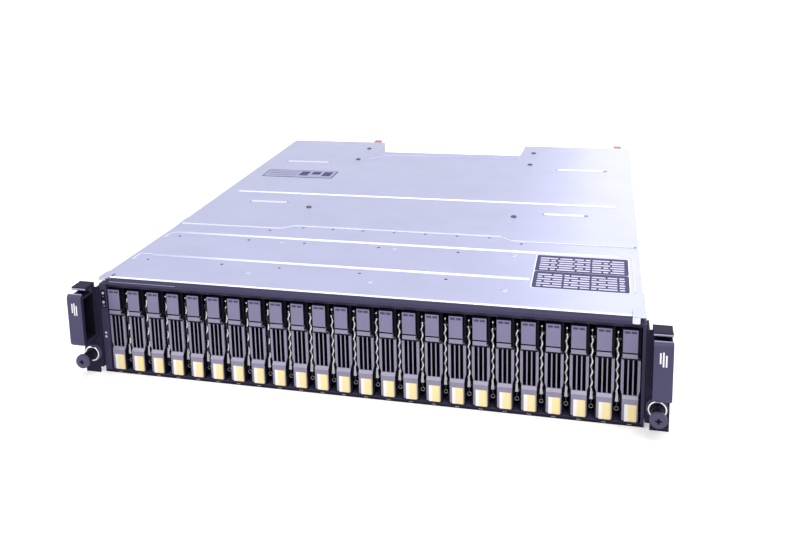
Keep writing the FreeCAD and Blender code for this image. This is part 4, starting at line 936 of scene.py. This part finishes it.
@dataclass
class RackEars:
    """The two rack ears with their covers and thumbscrews.

    A knob's profile has parts of its radius, levels from its face, and whether it is ribbed there.
    """

    knob_profile: tuple[tuple[float, float, bool], ...] = (
        (0.80, 0.0, False), (0.93, 0.0003, False), (1.0, 0.0014, False), (1.0, 0.0032, False),
        (0.74, 0.0036, False), (0.74, 0.0042, True), (0.74, 0.0156, True), (0.74, 0.0162, False),
        (0.6882, 0.018, False),
    )
    head_bands: int = 3
    knob_ribs: int = 36
    rib_points: int = 4
    rib_depth: float = 0.00022
    cross: Pair = (0.0046, 0.0016)
    cross_span: Pair = (0.0015, -0.00003)
    shank_profile: Profile = ((0.0023, 0.017), (0.0023, 0.023), (0.0025, 0.0232))
    thread_end: Profile = ((0.0025, -0.001), (0.0018, 0.0))
    ring_radius: float = 0.0060
    ring_wire: float = 0.0009
    ferrule_reach: float = 0.007956
    frame_depth: float = 0.014
    slack: float = 0.0001
    tab_sheet: float = 0.0027
    tab_skin: float = 0.0003
    tab_front: float = 0.0020
    facing: float = 0.5
    pocket_inset: float = 0.0005
    pocket_front: float = 0.0015
    pocket_span: Pair = (0.0025, 0.0066)
    rim_radius: float = 0.0009
    rim_steps: int = 12
    rim_inset: float = 0.0004
    bevel_tilt: float = 0.3
    crest_shift: float = 0.0002
    crest_half: float = 0.0004
    crest_round: float = 0.0003
    bar_width: float = 0.0011
    bar_gap: float = 0.0009
    bar_heights: Profile = ((0.0635, 0.0718), (0.0612, 0.0724), (0.0612, 0.0702))
    bar_span: Pair = (0.0002, -0.00005)

    def build(self) -> None:
        """Dress both ears and add their painted edge highlights, thumbscrews and printed bars."""
        for side, sign in SIDES.items():
            self.dress_bracket(side)
            self.dress_cover(side, sign)
            self.add_edge_highlights(side)
            self.add_thumbscrew(side)
            self.add_bars(side)

    def dress_cover(self, side: str, sign: int) -> None:
        """Give an ear's cover painted shade: a darker upper tab and inner side, and a black grip pocket.

        Args:
            side: Name of the side.
            sign: Its direction along X.
        """
        cover = dress(f"ear_cover_{side}", EAR_BLACK, Rounding.MOULDED)
        low, high = (Vector(corner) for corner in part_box(f"ear_cover_{side}"))
        inset, (below, above) = self.pocket_inset, self.pocket_span

        def zone(middle: Vector, normal: Vector) -> int:
            """Tell the pocket, the tab and the inner side from the rest.

            Args:
                middle: Middle of a face.
                normal: Direction that it looks in.

            Returns:
                Number of its finish.
            """
            across = low.x + inset < middle.x < high.x - inset
            along = low.y + self.pocket_front < middle.y < high.y - inset
            # The pocket's faces are painted black as shade in the recess.
            if across and along and low.z + below < middle.z < high.z - above:
                return 2
            # The tab and the inner side take the darker paint as painted shade.
            on_tab = middle.z > high.z - self.tab_sheet - self.slack
            return int(on_tab or sign * normal.x < -self.facing)

        paint_zones(cover, [EAR_PAINT_AND_SHADE, SLED_BLACK_AND_SHADE], zone)

    def dress_bracket(self, side: str) -> None:
        """Paint a bracket dark, with a paler ferrule and its web left as bare sheet.

        Args:
            side: Name of the side.
        """
        bracket = dress(f"ear_bracket_{side}", EAR_PAINT_AND_SHADE, Rounding.SHEET)
        across, up = self.screw_axis(side)
        flange_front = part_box(f"ear_cover_{side}")[1][1]

        def zone(middle: Vector, normal: Vector) -> int:
            """Tell the ferrule and the web from the flange.

            Args:
                middle: Middle of a face.
                normal: Direction that it looks in.

            Returns:
                Number of its finish.
            """
            if middle.y > FRONT + self.frame_depth:
                return 2
            reach = math.hypot(middle.x - across, middle.z - up)
            return int(reach < self.ferrule_reach and middle.y < flange_front - self.slack)

        paint_zones(bracket, [EAR_BLACK, GALVANISED], zone)

    def add_edge_highlights(self, side: str) -> None:
        """Run pale rims along the front of a cover's upper tab and along the crest of its face, as painted
        highlights on those edges.

        Args:
            side: Name of the side.
        """
        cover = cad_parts[f"ear_cover_{side}"]
        points = [cover.matrix_world @ vertex.co for vertex in cover.data.vertices]
        top = max(point.z for point in points)
        tab = [point for point in points if point.z > top - self.tab_skin and point.y < FRONT]
        front = min(point.y for point in tab)
        ends = sorted(point.x for point in tab if point.y < front + self.tab_front)
        level = top - self.tab_sheet + self.rim_radius
        tilt = self.bevel_tilt
        bevel = [face for face in cover.data.polygons if face.normal.z > tilt and face.normal.y < -tilt]
        corners = [points[number] for face in bevel for number in face.vertices]
        crest = max(corners, key=lambda point: (round(point.z, 5), -point.y))
        middle = (crest.y + self.crest_shift, crest.z - self.crest_shift)
        outlines = (
            circle((front + self.rim_radius / 2, level), self.rim_radius, self.rim_steps),
            slab(middle, (self.crest_half, self.crest_half), self.crest_round),
        )
        shape = Shape()
        for outline in outlines:
            shape.prism(Axis.X, outline, ends[0] + self.rim_inset, ends[-1] - self.rim_inset)
        shape.piece(f"ear_painted_highlight_{side}", "chassis", [EDGE_HIGHLIGHT])

    def screw_axis(self, side: str) -> Pair:
        """Give the X and Z of a thumbscrew's axis."""
        low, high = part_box(f"thumbscrew_{side}")
        return (low[0] + high[0]) / 2, (low[2] + high[2]) / 2

    def add_thumbscrew(self, side: str) -> None:
        """Turn a ribbed knob with a cross recess in place of the plain one, and a bright ring behind it.

        Args:
            side: Name of the side.
        """
        body = f"thumbscrew_{side}"
        low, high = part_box(body)
        face, length = low[1], high[1] - low[1]
        centre = self.screw_axis(side)
        shape = Shape()
        self.add_knob(shape, centre, (high[0] - low[0]) / 2, face)
        shank = [*self.shank_profile, *((radius, length + back) for radius, back in self.thread_end)]
        shape.lathe(Axis.Y, centre, shank, face, 2)
        # The cross recess is painted dark as shade.
        shape.cross(Axis.Y, centre, self.cross, levels(face, self.cross_span), 1)
        knob = shape.piece(f"thumb_knob_{side}", body, [KNOB_BLACK, PAINTED_SHADE_DARK, SCREW_STEEL])
        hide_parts(body)
        ring = Shape()
        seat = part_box(f"ear_bracket_{side}")[0][1]
        ring.hoop(Axis.Y, (*centre, seat - self.ring_wire / 2), self.ring_radius, self.ring_wire)
        ring.piece(f"thumb_ring_{side}", "chassis", [CHROME])

    def add_knob(self, shape: Shape, centre: Pair, radius: float, face: float) -> None:
        """Turn a knob with a smooth head and a ribbed body, the body painted darker as shade.

        Args:
            shape: Shape that takes it.
            centre: Place of its axis.
            radius: Radius of its head.
            face: Level of its face.
        """
        steps = self.knob_ribs * self.rib_points
        rings = []
        for part, level, ribbed in self.knob_profile:
            full = circle(centre, radius * part, steps)
            sunk = circle(centre, radius * part - self.rib_depth, steps)
            ring = []
            for step in range(steps):
                in_groove = ribbed and step % self.rib_points < self.rib_points // 2
                ring.append(sunk[step] if in_groove else full[step])
            rings.append(shape.ring(Axis.Y.place(u, v, face + level) for u, v in ring))
        # Bands behind the head take the near black as painted shade.
        for band, (one, other) in enumerate(zip(rings, rings[1:])):
            shape.bridge(one, other, int(band >= self.head_bands))
        shape.face(rings[0])
        shape.face(rings[-1], 1)

    def add_bars(self, side: str) -> None:
        """Print three plain bars on the face of an ear cover.

        Args:
            side: Name of the side.
        """
        low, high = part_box(f"ear_cover_{side}")
        pitch = self.bar_width + self.bar_gap
        first = (low[0] + high[0]) / 2 - (len(self.bar_heights) * pitch - self.bar_gap) / 2
        shape = Shape()
        for index, (bottom, top) in enumerate(self.bar_heights):
            start = first + index * pitch
            outline = plate_outline((start, bottom), (start + self.bar_width, top), self.bar_width / 4)
            shape.prism(Axis.Y, outline, *levels(low[1], self.bar_span))
        shape.piece(f"ear_bars_{side}", "chassis", [PRINT_WHITE])


def carrier_centre(number: int) -> float:
    """Give the X of a carrier's middle from the right edge of its sled."""
    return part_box(f"carrier_{number:02d}")[1][0] - SLED_HALF


class CarrierZone(Enum):
    """The solids of a carrier, with its painted shade and highlight, by the number of their finish."""

    SLED_AND_SHADE = 0
    HANDLE = 1
    TILE = 2
    DISK = 3
    SPRING = 4
    LIT_LEDGE = 5


@dataclass
class DiskCarriers:
    """The row of disk carriers with their windows, labels and springs.

    Depths, profiles and spans are measured from the front, and levels from the floor.
    """

    foot_high: float = 0.0216
    foot_back: float = 0.0061
    foot_inset: float = 0.0010
    ledge_tilt: float = 0.35
    side_tilt: float = 0.9
    plate_front: float = 0.0018
    plate_back: float = 0.0041
    slot_reach: float = 0.0050
    disk_start: float = 0.0238
    disk_low: float = 0.00515
    disk_high: float = 0.07485
    spring_back: float = 0.0105
    slack: float = 0.0001
    label_bands: tuple[float, ...] = (-0.0039, -0.0012, 0.0036, 0.0048)
    label_fold: float = 0.0037
    label_low: Pair = (0.0003, 0.0034)
    label_high: float = 0.0173
    label_sheet: float = 0.00005
    window_half: Pair = (0.0020, 0.00095)
    window_corner: float = 0.0019 / 3
    window_drop: float = 0.0020
    window_spread: float = 0.00235
    window_span: Pair = (0.0003, -0.00004)
    bar_shadow_levels: Pair = (0.0523, 0.0537)
    bar_shadow_inset: float = 0.0003
    bar_shadow_span: Pair = (0.0022, 0.00172)
    wave_count: int = 6
    wave_shade_limit: float = 0.1
    wave_broken: int = 9
    broken_count: int = 4
    wave_steps: int = 8
    wave_swing: float = 0.0006
    wave_width: float = 0.0017
    wave_thin: float = 0.55
    wave_sheet: float = 0.0004
    wave_depth: float = 0.0043
    spring_out: float = 0.0034
    spring_low: float = 0.0171
    spring_high: float = 0.0679
    tongue_top: Pair = (0.0005, 0.0262)
    tongue_foot: Pair = (0.0012, 0.0172)
    tongue_span: Pair = (0.0033, 0.0040)
    hook_radius: float = 0.0015
    hook_wire: float = 0.0003
    hook_level: float = 0.0108
    hook_depth: float = 0.0050
    strut_depth: float = 0.0045
    strut_half: Pair = (0.0003, 0.0008)
    strut_levels: Pair = (0.0121, 0.0177)
    stem_depth: float = 0.0060
    stem_half: Pair = (0.0003, 0.0005)
    stem_levels: Pair = (0.0669, 0.0722)
    bead_profile: Profile = ((0.0008, 0.0070), (0.0008, 0.0050), (0.0004, 0.0045))
    bead_level: float = 0.0722

    def __post_init__(self) -> None:
        """Take the tile's and the handle's sizes from the frame."""
        low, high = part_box("carrier_button")
        middle = carrier_centre(MOVING_CARRIER)
        self.tile_left, self.tile_right = low[0] - middle, high[0] - middle
        self.tile_low, self.tile_high = low[2], high[2]
        low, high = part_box("carrier_handle")
        self.block_half = (high[0] - low[0]) / 2
        self.handle_top = high[2]

    def build(self) -> None:
        """Dress every carrier and add its label, windows, painted shadow under the bar and spring."""
        for number in range(1, CARRIER_COUNT + 1):
            self.dress_carrier(number, f"carrier_{number:02d}")
            self.add_label(number)
            self.add_windows(number)
            self.add_bar_shadow(number)
            if number > 1:
                self.add_spring(number)
        for node in ("carrier_handle", "carrier_button"):
            self.dress_carrier(MOVING_CARRIER, node)

    def body_of(self, number: int, moving: str) -> str:
        """Name the body that a carrier's piece rides on."""
        return moving if number == MOVING_CARRIER else f"carrier_{number:02d}"

    def dress_carrier(self, number: int, node: str) -> None:
        """Paint the solids of a node that belongs to one carrier.

        Args:
            number: Number of the carrier.
            node: Name of the node.
        """
        item = dress(node, SLED_BLACK_AND_SHADE, Rounding.SMALL)
        middle = carrier_centre(number)

        def zone(place: Vector, normal: Vector) -> int:
            """Tell a carrier's solids apart by where their faces lie."""
            return self.zone_of(place - Vector((middle, FRONT, 0)), normal).value

        paint_zones(item, [GRILLE_GREY, TILE_GREY, DISK_METAL, PULL_BLACK_AND_SHADE, LEDGE_HIGHLIGHT_GREY], zone)

    def zone_of(self, place: Vector, normal: Vector) -> CarrierZone:
        """Name the solid that a face belongs to.

        Args:
            place: The face's middle, from the carrier's middle, the front and the floor.
            normal: The direction that the face looks in.

        Returns:
            The solid.
        """
        reach, depth, height = abs(place.x), place.y, place.z
        if place.x < -self.block_half - self.slack / 2 and depth < self.spring_back:
            return CarrierZone.SPRING
        if depth > self.disk_start + 2 * self.slack and self.disk_low < height < self.disk_high:
            return CarrierZone.DISK
        on_tile = self.tile_low - self.slack < height < self.tile_high + self.slack
        beside = self.tile_left - self.slack < place.x < self.tile_right + self.slack
        if on_tile and beside and depth < self.slack:
            return CarrierZone.TILE
        on_grille = self.foot_high - 2 * self.slack < height < self.handle_top - self.slack
        if on_grille and reach < self.block_half + self.slack and depth < self.plate_back:
            # Sunk faces behind the grille's slots take the black as painted shade.
            sunk = depth > self.plate_front + self.slack and reach < self.slot_reach
            # Faces that look up and forward take the paler grey as painted highlight.
            if normal.z > self.ledge_tilt and normal.y < -self.ledge_tilt:
                return CarrierZone.LIT_LEDGE
            return CarrierZone.SLED_AND_SHADE if sunk else CarrierZone.HANDLE
        on_foot = height <= self.foot_high and depth < self.foot_back
        if on_foot and reach < self.block_half - self.foot_inset and abs(normal.x) < self.side_tilt:
            return CarrierZone.HANDLE
        return CarrierZone.SLED_AND_SHADE

    def add_label(self, number: int) -> None:
        """Lay a label with three bands of colour on the foot of a carrier's handle.

        Args:
            number: Number of the carrier.
        """
        shape = Shape()
        middle = carrier_centre(number)
        sheet = self.label_sheet
        under, low = self.label_low
        outline = [
            (FRONT - sheet, self.label_high),
            (FRONT - sheet, self.label_fold),
            (FRONT + under - sheet, low),
            (FRONT + under + sheet, low + sheet),
            (FRONT + sheet, self.label_fold + sheet),
            (FRONT + sheet, self.label_high),
        ]
        for paint, band in enumerate(zip(self.label_bands, self.label_bands[1:])):
            shape.prism(Axis.X, outline, *levels(middle, band), paint)
        body = self.body_of(number, "carrier_handle")
        shape.piece(f"carrier_label_{number:02d}", body, [LABEL_WHITE, LABEL_CREAM, LABEL_YELLOW])

    def add_windows(self, number: int) -> None:
        """Set two dark light slits near the top of a carrier's button.

        Args:
            number: Number of the carrier.
        """
        shape = Shape()
        middle = carrier_centre(number) + (self.tile_left + self.tile_right) / 2
        for sign in SIDES.values():
            centre = (middle + sign * self.window_spread, self.tile_high - self.window_drop)
            window = slab(centre, self.window_half, self.window_corner)
            shape.prism(Axis.Y, window, *levels(FRONT, self.window_span))
        body = self.body_of(number, "carrier_button")
        shape.piece(f"carrier_windows_{number:02d}", body, [LIGHT_SLIT])

    def add_bar_shadow(self, number: int) -> None:
        """Lay a black strip under the bar at the top of a carrier's grille, as painted shadow.

        Args:
            number: Number of the carrier.
        """
        shape = Shape()
        middle = carrier_centre(number)
        half = self.block_half - self.bar_shadow_inset
        outline = box_outline((middle - half, self.bar_shadow_levels[0]), (middle + half, self.bar_shadow_levels[1]))
        shape.prism(Axis.Y, outline, *levels(FRONT, self.bar_shadow_span))
        shape.piece(f"carrier_bar_shadow_{number:02d}", self.body_of(number, "carrier_handle"), [SLED_BLACK_AND_SHADE])

    def add_spring(self, number: int) -> None:
        """Lay a bright contact spring beside a carrier, with a bead above it and a hook below.

        Args:
            number: Number of the carrier.
        """
        shape = Shape()
        middle = carrier_centre(number) - self.block_half - self.spring_out / 2 - self.wave_width / 2
        self.add_wave(shape, number, middle)
        shape.lathe(Axis.Y, (middle, self.bead_level), self.bead_profile, FRONT, 0, TINY_ROUND)
        shape.prism(Axis.Z, slab((middle, FRONT + self.stem_depth), self.stem_half), *self.stem_levels, 1)
        (narrow, top), (wide, foot) = self.tongue_top, self.tongue_foot
        tongue = [
            (middle - narrow, top),
            (middle + narrow, top),
            (middle + wide, foot),
            (middle - wide, foot),
        ]
        shape.prism(Axis.Y, tongue, *levels(FRONT, self.tongue_span), 2)
        hook = (middle, self.hook_level, FRONT + self.hook_depth)
        shape.hoop(Axis.Y, hook, self.hook_radius, self.hook_wire, 2)
        shape.prism(Axis.Z, slab((middle, FRONT + self.strut_depth), self.strut_half), *self.strut_levels, 1)
        body = f"carrier_{number:02d}"
        shape.piece(f"spring_strip_{number:02d}", body, [SPRING_SILVER, PULL_BLACK_AND_SHADE, INNER_STEEL])

    def add_wave(self, shape: Shape, number: int, middle: float) -> None:
        """Wave a strip from its foot to its top; in the left bays its turned-away parts are painted dark as
        shade, leaving short bright dashes.

        Args:
            shape: Shape that takes it.
            number: Number of the carrier.
            middle: X of its middle.
        """
        broken = number <= self.wave_broken
        count = self.broken_count if broken else self.wave_count
        steps = count * self.wave_steps
        rows = []
        for step in range(steps + 1):
            part = step / steps
            level = self.spring_low + (self.spring_high - self.spring_low) * part
            turn = 2 * math.pi * count * part + number
            across = middle + self.wave_swing * math.sin(turn)
            out = FRONT + self.wave_depth - self.wave_swing * math.cos(turn)
            half = self.wave_width / 2 * (self.wave_thin + (1 - self.wave_thin) * math.sin(turn) ** 2)
            corners = box_outline((across - half, out), (across + half, out + self.wave_sheet))
            rows.append(shape.ring(Vector((x, y, level)) for x, y in corners))
        for step, (one, other) in enumerate(zip(rows, rows[1:])):
            turn = 2 * math.pi * count * (step + 0.5) / steps + number
            # Parts past the shade limit take the black as painted shade.
            shape.bridge(one, other, int(broken and math.sin(turn) < self.wave_shade_limit), True)
        shape.face(rows[0])
        shape.face(rows[-1])


@dataclass
class PowerModules:
    """The two power modules behind the disks.

    Profiles are measured from the rear panel, and places from the module's middle and the floor.
    """

    middle_x: float = 0.15825
    fan_offset: float = 0.002
    fan_z: float = 0.04175
    hoop_radii: Triple = (0.016, 0.023, 0.030)
    hoop_wire: float = 0.0007
    inlet: Pair = (-0.049, 0.030)
    pin_half: Pair = (0.003, 0.001)
    pin_corner: float = 0.0008
    pin_span: Pair = (-0.0161, -0.0031)
    pins: Profile = ((-0.0035, 0.007), (0.0025, 0.0), (-0.0035, -0.007))
    lamp: Pair = (-0.049, 0.056)
    lamp_profile: Profile = ((0.002, -0.0005), (0.002, 0.0004), (0.0014, 0.0009), (0.0006, 0.0011))
    rib_count: int = 4
    rib_pitch: float = 0.0022
    rib_start: float = 0.002
    rib_width: float = 0.001
    rib_inset: float = 0.0015
    rib_corner: float = 0.0004
    rib_span: Pair = (0.0005, -0.0003)

    def build(self) -> None:
        """Dress both modules and add their guards, pins, lamps and ribs."""
        for side, sign in SIDES.items():
            name = f"psu_{side}"
            dress(f"{name}_case", MODULE_STEEL, Rounding.SHEET)
            dress(f"{name}_inlet", PLUG_BLACK, Rounding.SHEET)
            dress(f"{name}_fan", FAN_BLACK)
            dress(f"{name}_handle", PULL_BLACK_AND_SHADE, Rounding.MOULDED)
            dress(f"{name}_latch", LATCH_ORANGE, Rounding.MOULDED)
            middle = sign * self.middle_x
            self.add_guard(name, middle)
            self.add_pins(name, middle)
            self.add_lamp(name, middle)
            self.add_ribs(name)

    def add_guard(self, name: str, middle: float) -> None:
        """Fix wire hoops on the guard bars in front of a fan.

        Args:
            name: Name of the module.
            middle: X of its middle.
        """
        shape = Shape()
        for radius in self.hoop_radii:
            centre = (middle + self.fan_offset, self.fan_z, REAR - LET_IN)
            shape.hoop(Axis.Y, centre, radius, self.hoop_wire)
        shape.piece(f"{name}_guard", name, [SCREW_STEEL])

    def add_pins(self, name: str, middle: float) -> None:
        """Stand three blades in the power inlet.

        Args:
            name: Name of the module.
            middle: X of its middle.
        """
        shape = Shape()
        for x, z in self.pins:
            centre = (middle + self.inlet[0] + x, self.inlet[1] + z)
            shape.prism(Axis.Y, slab(centre, self.pin_half, self.pin_corner), *levels(REAR, self.pin_span))
        shape.piece(f"{name}_pins", name, [PIN_BRASS])

    def add_lamp(self, name: str, middle: float) -> None:
        """Set a round lamp lens in the rear panel.

        Args:
            name: Name of the module.
            middle: X of its middle.
        """
        shape = Shape()
        centre = (middle + self.lamp[0], self.lamp[1])
        shape.lathe(Axis.Y, centre, self.lamp_profile, REAR, 0, SMALL_ROUND)
        shape.piece(f"{name}_lamp", name, [LENS_GREEN])

    def add_ribs(self, name: str) -> None:
        """Mould grip ribs on the side of a release latch.

        Args:
            name: Name of the module.
        """
        shape = Shape()
        low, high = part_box(f"{name}_latch")
        bottom, top = low[2] + self.rib_inset, high[2] - self.rib_inset
        for index in range(self.rib_count):
            back = high[1] - self.rib_start - index * self.rib_pitch
            outline = plate_outline((back - self.rib_width, bottom), (back, top), self.rib_corner)
            shape.prism(Axis.X, outline, *levels(low[0], self.rib_span))
        shape.piece(f"{name}_latch_ribs", f"{name}_latch", [LATCH_ORANGE])


@dataclass
class Controllers:
    """The two controller modules in the rear recess.

    Profiles and spans are measured from the module's rear panel, and heights from its floor.
    """

    cage_rise: float = 0.0008
    vent_low: Pair = (0.054, 0.010)
    vent_high: Pair = (0.088, 0.032)
    vent_sheet: float = 0.0008
    backing_span: Pair = (-0.0002, 0.0001)
    cell: float = 0.004
    cell_steps: int = 16
    hole: float = 0.0015
    lamp_profile: Profile = ((0.0012, -0.0004), (0.0012, 0.0003), (0.00072, 0.0006))
    lamp_start: float = -0.040
    lamp_pitch: float = 0.006
    lamp_height: float = 0.032
    lamp_count: int = 3

    def build(self) -> None:
        """Dress both modules and add their vents and lamps."""
        for level in ("lower", "upper"):
            name = f"controller_{level}"
            dress(f"{name}_case", MODULE_STEEL, Rounding.SHEET)
            dress(f"{name}_ports", PORT_STEEL, Rounding.SHEET)
            dress(f"{name}_lever", LEVER_GREY, Rounding.MOULDED)
            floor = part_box(f"{name}_case")[0][2]
            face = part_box(f"{name}_ports")[1][1] - self.cage_rise
            self.add_vent(name, floor, face)
            self.add_lamps(name, floor, face)

    def add_vent(self, name: str, floor: float, face: float) -> None:
        """Fix a pierced vent plate on the rear panel, over a black backing painted as the shade inside the
        holes.

        Args:
            name: Name of the module.
            floor: Height of the module's floor.
            face: Level of its rear panel.
        """
        shape = Shape()
        left, bottom = self.vent_low[0], floor + self.vent_low[1]
        columns = round((self.vent_high[0] - self.vent_low[0]) / self.cell)
        rows = round((self.vent_high[1] - self.vent_low[1]) / self.cell)
        backing = box_outline((left, bottom), (left + columns * self.cell, bottom + rows * self.cell))
        # The backing is painted shade seen through the holes.
        shape.prism(Axis.Y, backing, *levels(face, self.backing_span), 1)
        for column in range(columns):
            for row in range(rows):
                centre = (left + (column + 0.5) * self.cell, bottom + (row + 0.5) * self.cell)
                self.add_cell(shape, centre, face)
        shape.piece(f"{name}_vent", name, [MODULE_STEEL, SLED_BLACK_AND_SHADE])

    def add_cell(self, shape: Shape, centre: Pair, face: float) -> None:
        """Add one square of the vent plate with a round hole in it.

        Args:
            shape: Shape that takes it.
            centre: Middle of the square.
            face: Level of the rear panel.
        """
        outer, inner = [], []
        for step in range(self.cell_steps):
            angle = 2 * math.pi * (step + 0.5) / self.cell_steps
            across, up = math.cos(angle), math.sin(angle)
            reach = self.cell / 2 / max(abs(across), abs(up))
            outer.append((centre[0] + across * reach, centre[1] + up * reach))
            inner.append((centre[0] + across * self.hole, centre[1] + up * self.hole))
        loops = []
        top = face + self.vent_sheet
        for outline, level in ((outer, face), (outer, top), (inner, top), (inner, face)):
            loops.append(shape.ring(Axis.Y.place(u, v, level) for u, v in outline))
        for one, other in zip(loops, loops[1:] + loops[:1]):
            shape.bridge(one, other)

    def add_lamps(self, name: str, floor: float, face: float) -> None:
        """Set a short row of lamp lenses in the rear panel, the first one amber.

        Args:
            name: Name of the module.
            floor: Height of the module's floor.
            face: Level of its rear panel.
        """
        shape = Shape()
        for index in range(self.lamp_count):
            centre = (self.lamp_start + index * self.lamp_pitch, floor + self.lamp_height)
            shape.lathe(Axis.Y, centre, self.lamp_profile, face, int(index == 0), LAMP_ROUND)
        shape.piece(f"{name}_lamps", name, [LENS_GREEN, LENS_AMBER])


@dataclass
class Studio:
    """The floor, the light and the camera."""

    image_width: float = 800
    image_height: float = 533
    focal_pixels: float = 963.1
    middle_pixel: Pair = (312.5, 128.9)
    camera_place: Triple = (0.1898, -0.9758, 0.3726)
    camera_yaw: float = -17.136
    camera_pitch: float = 11.638
    camera_roll: float = -2.258
    sensor: float = 36.0
    floor_size: float = 12.0
    floor_cells: int = 8
    floor_colour: Triple = (0.90, 0.90, 0.90)
    floor_roughness: float = 0.9
    lift_reach: Pair = (0.35, 0.9)
    lift: Pair = (0.25, 1.0)
    sky_light: float = 0.55
    lamps: dict[str, tuple[Triple, Triple, float, float]] = field(default_factory=lambda: {
        "key_lamp": ((0.7, -1.1, 1.7), (0, -0.2, 0.05), 1.4, 20),
        "side_lamp": ((-1.3, -1.1, 0.9), (0, -0.2, 0.05), 1.2, 9),
        "top_lamp": ((-0.1, 0.35, 1.7), (0, 0.1, 0.08), 1.3, 14),
        "back_lamp": ((0.72, 1.6, 0.8), (0.1, 0, 0.08), 1.4, 5.2),
    })

    def build(self) -> None:
        """Set up the whole studio."""
        bpy.context.scene.view_settings.view_transform = "Standard"
        self.add_floor()
        self.add_sky()
        for name, (place, target, size, power) in self.lamps.items():
            self.add_lamp(name, Vector(place), Vector(target), size, power)
        self.add_camera()

    def add_floor(self) -> None:
        """Lay a plain pale floor that keeps the object's shadow."""
        build = bmesh.new()
        cells = self.floor_cells
        bmesh.ops.create_grid(build, x_segments=cells, y_segments=cells, size=self.floor_size / 2)
        mesh = bpy.data.meshes.new("floor")
        build.to_mesh(mesh)
        build.free()
        material = bpy.data.materials.new("floor_paper")
        graph = Graph(material)
        graph.set("Base Color", (*self.floor_colour, 1))
        graph.set("Roughness", self.floor_roughness)
        graph.set("Specular IOR Level", 0.0)
        self.whiten(graph)
        mesh.materials.append(material)
        floor = bpy.data.objects.new("floor", mesh)
        bpy.context.scene.collection.objects.link(floor)

    def whiten(self, graph: Graph) -> None:
        """Lift the floor to white for the camera, more so away from the object.

        Args:
            graph: Node tree of the floor's material.
        """
        graph.set("Emission Color", (1, 1, 1, 1))
        distance = graph.add("ShaderNodeVectorMath")
        distance.operation = "LENGTH"
        graph.links.new(graph.place, distance.inputs[0])
        rise = graph.spread(distance.outputs["Value"], *self.lift, self.lift_reach)
        lift = graph.add("ShaderNodeMath")
        lift.operation = "MULTIPLY"
        graph.links.new(graph.add("ShaderNodeLightPath").outputs["Is Camera Ray"], lift.inputs[0])
        graph.links.new(rise, lift.inputs[1])
        graph.links.new(lift.outputs["Value"], graph.shader.inputs["Emission Strength"])

    def add_sky(self) -> None:
        """Surround the scene with white, at a softer level for diffuse light."""
        world = bpy.data.worlds.new("studio_white")
        bpy.context.scene.world = world
        world.use_nodes = True
        nodes, links = world.node_tree.nodes, world.node_tree.links
        background = nodes["Background"]
        background.inputs["Color"].default_value = (1, 1, 1, 1)
        path = nodes.new("ShaderNodeLightPath")
        seen = path.outputs["Is Camera Ray"]
        for name in ("Is Glossy Ray", "Is Transmission Ray"):
            either = nodes.new("ShaderNodeMath")
            either.operation = "MAXIMUM"
            links.new(seen, either.inputs[0])
            links.new(path.outputs[name], either.inputs[1])
            seen = either.outputs["Value"]
        level = nodes.new("ShaderNodeMapRange")
        level.inputs["To Min"].default_value = self.sky_light
        level.inputs["To Max"].default_value = 1.0
        links.new(seen, level.inputs["Value"])
        links.new(level.outputs["Result"], background.inputs["Strength"])

    def add_lamp(self, name: str, place: Vector, target: Vector, size: float, power: float) -> None:
        """Hang one soft square lamp.

        Args:
            name: Name of the lamp.
            place: Where it hangs.
            target: What it points at.
            size: Length of its sides.
            power: Its power in watts.
        """
        light = bpy.data.lights.new(name, "AREA")
        light.shape = "SQUARE"
        light.size = size
        light.energy = power
        lamp = bpy.data.objects.new(name, light)
        lamp.location = place
        lamp.rotation_euler = (target - place).to_track_quat("-Z", "Y").to_euler()
        bpy.context.scene.collection.objects.link(lamp)

    def add_camera(self) -> None:
        """Stand the camera where the photograph was taken."""
        turns = (self.camera_yaw, self.camera_pitch, self.camera_roll)
        yaw, pitch, roll = (math.radians(turn) for turn in turns)
        ahead = Vector((math.sin(yaw) * math.cos(pitch), math.cos(yaw) * math.cos(pitch), -math.sin(pitch)))
        level = Vector((math.cos(yaw), -math.sin(yaw), 0))
        above = level.cross(ahead)
        right = level * math.cos(roll) + above * math.sin(roll)
        up = above * math.cos(roll) - level * math.sin(roll)
        camera = bpy.data.cameras.new("camera")
        camera.sensor_fit = "HORIZONTAL"
        camera.sensor_width = self.sensor
        camera.lens = self.focal_pixels / self.image_width * self.sensor
        camera.shift_x = (self.image_width / 2 - self.middle_pixel[0]) / self.image_width
        camera.shift_y = (self.middle_pixel[1] - self.image_height / 2) / self.image_width
        stand = bpy.data.objects.new("camera", camera)
        axes = Matrix((right, up, -ahead)).transposed().to_4x4()
        stand.matrix_world = Matrix.Translation(self.camera_place) @ axes
        bpy.context.scene.collection.objects.link(stand)
        bpy.context.scene.camera = stand


def main() -> None:
    """Build every sub-assembly in order."""
    logging.basicConfig(level=logging.INFO, format="%(name)s: %(message)s")
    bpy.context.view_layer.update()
    parts = (Cabinet(), FrontFrame(), RackEars(), DiskCarriers(), PowerModules(), Controllers(), Studio())
    for part in parts:
        part.build()
        log.info("built %s", type(part).__name__)
    bpy.context.view_layer.update()


if __name__ == "__main__":
    main()
